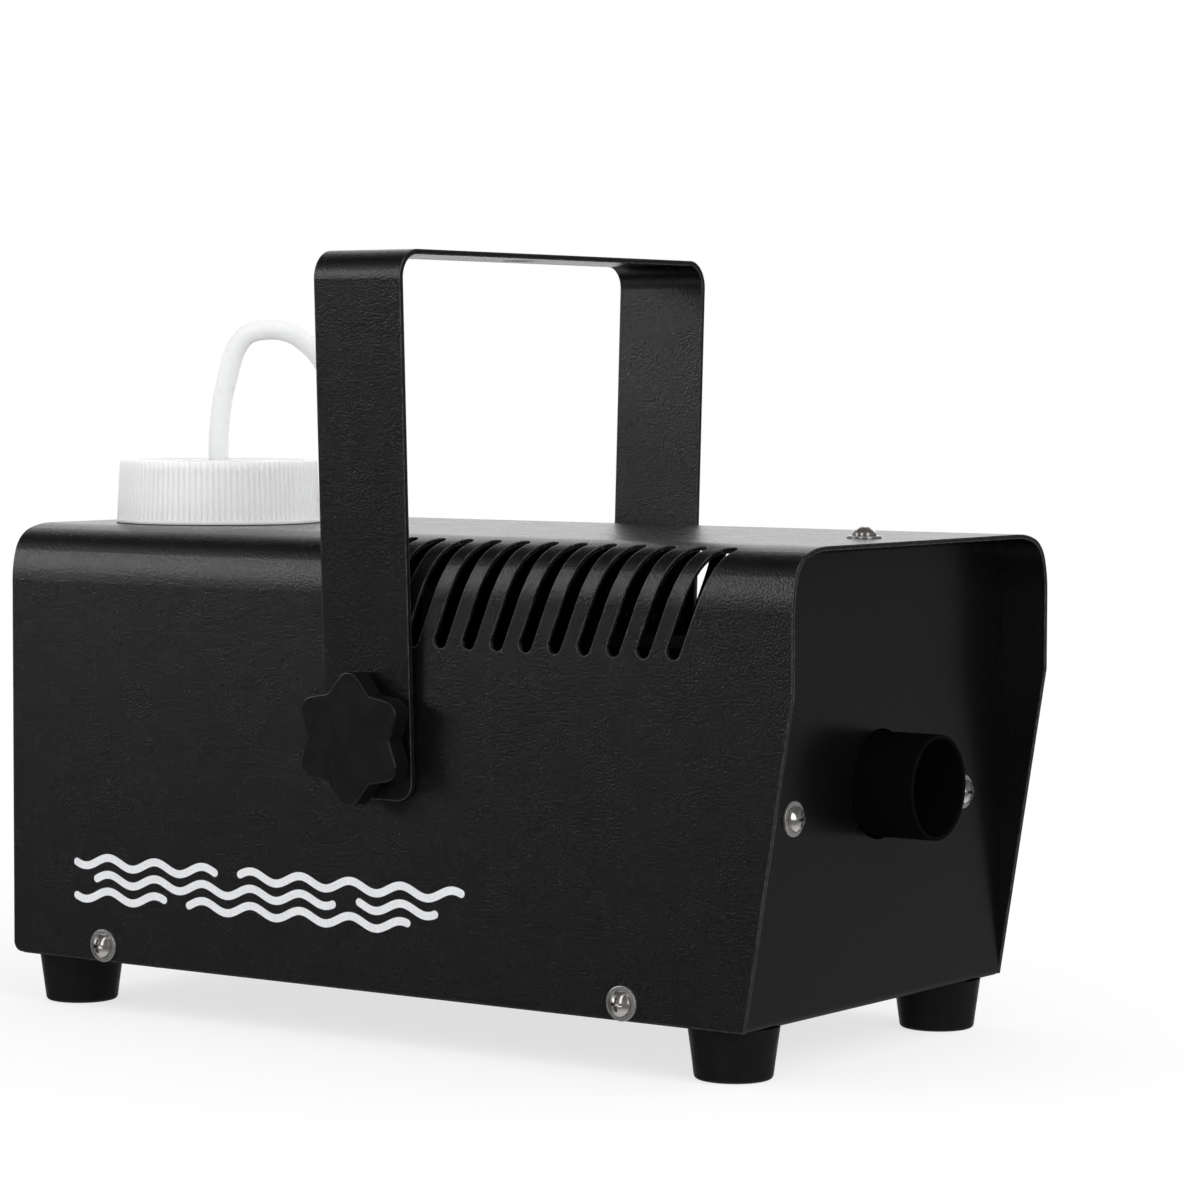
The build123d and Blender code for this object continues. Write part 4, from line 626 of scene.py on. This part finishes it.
# Middle line of the arch in mm: level distance from the cap's axis towards the grommet, and
# height from the middle line's highest point
ARCH = [
    (0.0, -27.5), (0.85, -18.5), (2.2, -12.3), (4.6, -4.5), (7.4, -1.2), (13.2, 0.0),
    (18.2, -0.8), (21.8, -2.9), (25.2, -6.2), (30.5, -15.0), (34.6, -30.0),
]
GROMMET_Z = (121.0, 118.0, 115.0, 112.0)   # mm, stations on the grommet's axis
PUMP_Z = (99.0, 95.0, 91.0)                # mm, stations on the pump inlet's axis
RISE_PARTS = 12                            # stations in the straight rise
SHIFT_PARTS = 6                            # steps from the grommet's axis to the pump's


def tube_path():
    tube_lo, tube_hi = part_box("intake_tube")
    start = Vector((cap_x, cap_y, 0.0))
    grommet = Vector((*middle_xy(*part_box("tube_grommet")), 0.0))
    pump = Vector((*middle_xy(*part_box("pump_inlet")), 0.0))
    level = (grommet - start).normalized()
    top_z = tube_hi.z - TUBE_R
    rise = top_z + ARCH[0][1] * MM - tube_lo.z

    def up(z):
        return Vector((0, 0, z))

    path = [start + up(tube_lo.z + k * rise / RISE_PARTS) for k in range(RISE_PARTS)]
    path += [start + level * u * MM + up(top_z + z * MM) for u, z in ARCH]
    path += [grommet + up(z * MM) for z in GROMMET_Z]
    for k in range(1, SHIFT_PARTS):
        share = k / SHIFT_PARTS
        eased = share * share * (3 - 2 * share)
        z = GROMMET_Z[-1] + (PUMP_Z[0] - GROMMET_Z[-1]) * share
        path.append(grommet.lerp(pump, eased) + up(z * MM))
    return path + [pump + up(z * MM) for z in PUMP_Z]


def between(t, a, t_a, b, t_b):
    """The point at t on the line that passes a at t_a and b at t_b."""
    return a * ((t_b - t) / (t_b - t_a)) + b * ((t - t_a) / (t_b - t_a))


def smooth_path(points, step, parts=16):
    """Centripetal Catmull-Rom in parts per span, thinned to roughly even steps."""
    dense = []
    pts = [points[0] * 2 - points[1]] + points + [points[-1] * 2 - points[-2]]
    for i in range(1, len(pts) - 2):
        p0, p1, p2, p3 = pts[i - 1 : i + 3]
        t0 = 0.0
        t1 = t0 + (p1 - p0).length ** 0.5
        t2 = t1 + (p2 - p1).length ** 0.5
        t3 = t2 + (p3 - p2).length ** 0.5
        for k in range(parts):
            t = t1 + (t2 - t1) * k / parts
            a1 = between(t, p0, t0, p1, t1)
            a2 = between(t, p1, t1, p2, t2)
            a3 = between(t, p2, t2, p3, t3)
            b1 = between(t, a1, t0, a2, t2)
            b2 = between(t, a2, t1, a3, t3)
            dense.append(between(t, b1, t1, b2, t2))
    dense.append(points[-1])
    thinned, gone = [dense[0]], 0.0
    for a, b in zip(dense, dense[1:]):
        gone += (b - a).length
        if gone >= step:
            thinned.append(b)
            gone = 0.0
    thinned.append(dense[-1])
    return thinned


def tube_mesh(name, middle, outer, inner, finish, sides=40):
    """A hollow tube along the middle line, with eased end lips."""
    n = len(middle)
    dirs = [
        (middle[min(i + 1, n - 1)] - middle[max(i - 1, 0)]).normalized() for i in range(n)
    ]
    side = dirs[0].orthogonal().normalized()
    frames = []
    for centre, along in zip(middle, dirs):
        side = (side - along * side.dot(along)).normalized()
        frames.append((centre, side, along.cross(side)))

    ease = (outer - inner) / 2 * 0.3
    outside = [outer - ease] + [outer] * (n - 2) + [outer - ease]
    inside = [inner + ease] + [inner] * (n - 2) + [inner + ease]
    verts = []
    for (centre, side, other), r in zip(frames + frames[::-1], outside + inside):
        for k in range(sides):
            a = 2 * math.pi * k / sides
            verts.append(centre + (side * math.cos(a) + other * math.sin(a)) * r)
    return mesh_object(name, verts, ring_faces(2 * n, sides), finish)


tube_line = smooth_path(tube_path(), step=0.8 * MM)
tube = tube_mesh("suction_tube", tube_line, TUBE_R, BORE_R, MAT["milky_silicone"])
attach(tube, "base")
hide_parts("intake_tube")


# ------------------------------------------------------------------ pump return spring
# Wire turns under the plunger. The real spring shortens as the plunger comes down; this mesh
# keeps one length.
WIRE_R, TURNS = 0.45 * MM, 5.0
COIL_STEPS = 180
spring_lo, spring_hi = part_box("pump_spring")
spring_x, spring_y = middle_xy(spring_lo, spring_hi)


def coil_line():
    radius = (spring_hi.x - spring_lo.x) / 2 - WIRE_R
    low, high = spring_lo.z + WIRE_R, spring_hi.z - WIRE_R
    line = []
    for k in range(COIL_STEPS + 1):
        share = k / COIL_STEPS
        a = 2 * math.pi * TURNS * share
        x, y = spring_x + radius * math.cos(a), spring_y + radius * math.sin(a)
        line.append(Vector((x, y, low + (high - low) * share)))
    return line


spring = tube_mesh(
    "return_spring", coil_line(), WIRE_R, WIRE_R * 0.25, MAT["zinc_steel"], sides=12
)
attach(spring, "base")
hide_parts("pump_spring")
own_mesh(spring)


# ------------------------------------------------------------------ printed mist lines
# Three rows of wavy strokes, a thin layer of ink on the cover's left side.
side_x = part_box("top_cover")[0].x
INK = 0.06 * MM                    # stands out from the cover
INK_SUNK = 0.02 * MM               # reaches into the cover
STROKE = 1.9 * MM                  # stroke width
STROKE_STEP = 0.5 * MM
END_PARTS = 10                     # steps round each half-round end
REAR_Y = 93.6 * MM                 # rear end of the print
LOW_Z, HIGH_Z = 26.1 * MM, 38.5 * MM
ROW_INSET = 2.1 * MM               # outer rows' middle lines inside the print
AMPLITUDE, WAVELENGTH = 1.15 * MM, 15.0 * MM
# Row name, height of the middle line, (start, end) of each stroke in mm from the rear end
MIST_ROWS = [
    (3, HIGH_Z - ROW_INSET, [(0.0, 46.0), (52.0, 119.6)]),
    (2, (LOW_Z + HIGH_Z) / 2, [(6.5, 82.0), (88.0, 112.0)]),
    (1, LOW_Z + ROW_INSET, [(0.0, 30.0), (36.0, 104.0)]),
]


def stroke_outline(y_rear, y_front, z_mid):
    """Points (y, z) round a wavy stroke with round ends."""
    steps = int((y_rear - y_front) / STROKE_STEP)
    mid = []
    for i in range(steps + 1):
        y = y_rear + (y_front - y_rear) * i / steps
        mid.append((y, z_mid + AMPLITUDE * math.sin(2 * math.pi * (y - REAR_Y) / WAVELENGTH)))
    half = STROKE / 2
    lower, upper = [], []
    for i, (y, z) in enumerate(mid):
        y_a, z_a = mid[max(0, i - 1)]
        y_b, z_b = mid[min(steps, i + 1)]
        dy, dz = y_b - y_a, z_b - z_a
        length = math.hypot(dy, dz)
        ny, nz = -dz / length, dy / length
        lower.append((y + ny * half, z + nz * half))
        upper.append((y - ny * half, z - nz * half))

    def round_end(centre, start):
        first = math.atan2(start[1] - centre[1], start[0] - centre[0])
        angles = [first - math.pi * k / END_PARTS for k in range(1, END_PARTS)]
        return [
            (centre[0] + half * math.cos(a), centre[1] + half * math.sin(a)) for a in angles
        ]

    return lower + round_end(mid[-1], lower[-1]) + upper[::-1] + round_end(mid[0], upper[0])


def stroke(name, outline):
    """A thin slab of ink with the outline, open at the back."""
    bm = bmesh.new()
    front = [bm.verts.new((side_x - INK, y, z)) for y, z in outline]
    back = [bm.verts.new((side_x + INK_SUNK, y, z)) for y, z in outline]
    face = bm.faces.new(front)
    for i in range(len(outline)):
        n = (i + 1) % len(outline)
        bm.faces.new((front[i], back[i], back[n], front[n]))
    bmesh.ops.triangulate(bm, faces=[face])
    bmesh.ops.recalc_face_normals(bm, faces=bm.faces)
    mesh = bpy.data.meshes.new(name)
    bm.to_mesh(mesh)
    bm.free()
    mesh.materials.append(MAT["ink"])
    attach(add_object(name, mesh), "base")


for row, row_z, strokes in MIST_ROWS:
    for number, (begin, end) in enumerate(strokes, 1):
        y_rear = REAR_Y - begin * MM - STROKE / 2
        y_front = REAR_Y - end * MM + STROKE / 2
        stroke("mist_line_%d_%d" % (row, number), stroke_outline(y_rear, y_front, row_z))


# ------------------------------------------------------------------ floor
FLOOR_HALF = 20.0
FLOOR_Z = -0.0001
GLOW_MIN = 0.72                    # least share of plain white the camera sees
GLOW_START, GLOW_FULL = 0.30, 0.9  # distances over which the floor fades to white


def floor_finish():
    """Pale matt floor that fades to white away from the product, for the camera only."""
    finish = bpy.data.materials.new("pale_floor")
    T = Tree(finish)
    out = T.node("ShaderNodeOutputMaterial")
    where = T.node("ShaderNodeTexCoord").outputs["Object"]
    clouds = T.noise(where, size=150.0, detail=3.0)
    pale = T.mix(clouds, (0.90, 0.90, 0.90), (0.93, 0.93, 0.93))
    matt = T.node("ShaderNodeBsdfDiffuse", {"Color": pale}).outputs[0]
    white = {"Color": (1.0, 1.0, 1.0), "Strength": 1.0}
    glow = T.node("ShaderNodeEmission", white).outputs[0]
    far = T.node("ShaderNodeVectorMath", {0: where}, operation="LENGTH").outputs[1]
    share = T.math("MAXIMUM", GLOW_MIN, T.ramp(far, GLOW_START, GLOW_FULL))
    camera_ray = T.node("ShaderNodeLightPath").outputs["Is Camera Ray"]
    share = T.math("MULTIPLY", share, camera_ray)
    mixed = T.node("ShaderNodeMixShader", {0: share, 1: matt, 2: glow})
    T.put(out.inputs["Surface"], mixed.outputs[0])
    return finish


floor_mesh = bpy.data.meshes.new("studio_floor")
floor_corners = [(-1, -1), (1, -1), (1, 1), (-1, 1)]
floor_mesh.from_pydata(
    [(x * FLOOR_HALF, y * FLOOR_HALF, FLOOR_Z) for x, y in floor_corners], [], [(0, 1, 2, 3)]
)
floor = add_object("studio_floor", floor_mesh)
floor.data.materials.append(floor_finish())
floor.visible_glossy = False


# ------------------------------------------------------------------ world
def window(W, value, low, high, soft):
    """1 from low to high, with soft edges."""
    rising = W.ramp(value, low - soft, low + soft)
    return W.math("MULTIPLY", rising, W.ramp(value, high + soft, high - soft))


def studio_world():
    """White to the camera, even to matt surfaces, and soft-edged panels to polished ones."""
    world = bpy.data.worlds.new("studio")
    scene.world = world
    W = Tree(world)
    out = W.node("ShaderNodeOutputWorld")
    background = W.node("ShaderNodeBackground")
    W.put(out.inputs["Surface"], background.outputs[0])
    direction = W.node("ShaderNodeTexCoord").outputs["Generated"]
    parts = W.node("ShaderNodeSeparateXYZ", {0: direction}).outputs
    degrees = 180 / math.pi
    azimuth = W.math("MULTIPLY", W.math("ARCTAN2", parts["X"], parts["Y"]), degrees)
    elevation = W.math("MULTIPLY", W.math("ARCSINE", parts["Z"]), degrees)

    # Polished surfaces: a dim sky, a paler floor, and the panels
    sky = W.ramp(elevation, start=15.0, end=45.0, low=0.10, high=0.03)
    ground = W.ramp(elevation, start=-22.0, end=-60.0, low=0.0, high=0.42)
    glossy = W.math("ADD", sky, ground)
    left_fade = W.ramp(elevation, start=16.0, end=38.0, low=1.2, high=0.18)
    wall_fade = W.ramp(elevation, start=6.0, end=34.0, low=1.26, high=0.95)
    # Degrees, with azimuth from +Y towards +X: azimuth low and high, elevation low and high,
    # softness of the azimuth and elevation edges; then radiance
    panels = [
        (-56, -30, 8.6, 18.5, 4, 2.5, 5.1),      # rear left, bright and low
        (-58, -16, 12, 44, 4, 5, left_fade),     # rear left, above it
        (-16, 12, 4, 30, 6, 5, 0.35),            # rear
        (18, 92, -12, 40, 6, 4, wall_fade),      # wide wall, rear right
        (-108, -88, -8, 60, 5, 8, 1.3),          # tall strip, left
        (98, 168, -60, -4, 10, 8, 0.13),         # front right, below the horizon
        (-168, -146, 0, 40, 5, 6, 2.2),          # strip, front left
    ]
    for az_low, az_high, el_low, el_high, az_soft, el_soft, radiance in panels:
        across = window(W, azimuth, az_low, az_high, az_soft)
        upward = window(W, elevation, el_low, el_high, el_soft)
        shape = W.math("MULTIPLY", across, upward)
        glossy = W.math("ADD", glossy, W.math("MULTIPLY", shape, radiance))

    diffuse = W.ramp(parts["Z"], start=-0.2, end=1.0, low=1.07, high=0.98)
    ray = W.node("ShaderNodeLightPath").outputs
    value = W.mix(ray["Is Glossy Ray"], diffuse, glossy)
    seen = W.math("MAXIMUM", ray["Is Camera Ray"], ray["Is Transmission Ray"])
    W.put(background.inputs["Color"], W.mix(seen, value, (1.0, 1.0, 1.0)))
    background.inputs["Strength"].default_value = 1.0


studio_world()


# ------------------------------------------------------------------ softboxes
LIGHT_TARGET = Vector((0.0, 0.0, 0.08))
# Name, direction from the target, distance, width, height, radiance
SOFTBOXES = [
    ("softbox_rear_left", (-0.60, 0.58, 0.55), 1.8, 1.2, 0.9, 0.35),
    ("softbox_front", (-0.25, -1.0, 0.45), 1.6, 1.2, 0.8, 3.9),
    ("softbox_top", (0.05, -0.05, 1.0), 2.0, 1.1, 1.1, 0.15),
]
for name, direction, distance, width, height, radiance in SOFTBOXES:
    light = bpy.data.lights.new(name, "AREA")
    light.shape = "RECTANGLE"
    light.size, light.size_y = width, height
    light.energy = radiance * math.pi * width * height
    box = add_object(name, light)
    outward = Vector(direction).normalized()
    box.location = LIGHT_TARGET + outward * distance
    box.rotation_mode = "QUATERNION"
    box.rotation_quaternion = outward.to_track_quat("Z", "Y")
    box.visible_camera = False
    box.visible_glossy = False


# ------------------------------------------------------------------ camera
EYE = Vector((-0.78354976, -0.57714885, 0.15441277))
# Radians: yaw from +Y towards +X, pitch downwards, roll about the view
YAW, PITCH, ROLL = 0.953766223, 0.0556129713, 0.0027051479
forward = Vector(
    (math.sin(YAW) * math.cos(PITCH), math.cos(YAW) * math.cos(PITCH), -math.sin(PITCH))
)
level_right = Vector((math.cos(YAW), -math.sin(YAW), 0.0))
level_up = level_right.cross(forward)
view_right = math.cos(ROLL) * level_right + math.sin(ROLL) * level_up
view_up = -math.sin(ROLL) * level_right + math.cos(ROLL) * level_up

cam_data = bpy.data.cameras.new("camera")
cam_data.sensor_fit = "HORIZONTAL"
cam_data.sensor_width = 36.0
cam_data.lens = 121.133979
cam_data.shift_x = 0.007386
cam_data.shift_y = 0.00149141667
cam_data.clip_start, cam_data.clip_end = 0.01, 60.0
camera = add_object("camera", cam_data)
# Columns: right, up, backwards, place
camera.matrix_world = Matrix(
    (
        (view_right.x, view_up.x, -forward.x, EYE.x),
        (view_right.y, view_up.y, -forward.y, EYE.y),
        (view_right.z, view_up.z, -forward.z, EYE.z),
        (0.0, 0.0, 0.0, 1.0),
    )
)
scene.camera = camera

scene.view_settings.view_transform = "Standard"
scene.view_settings.look = "None"
scene.view_settings.exposure = 0.0
scene.view_settings.gamma = 1.0
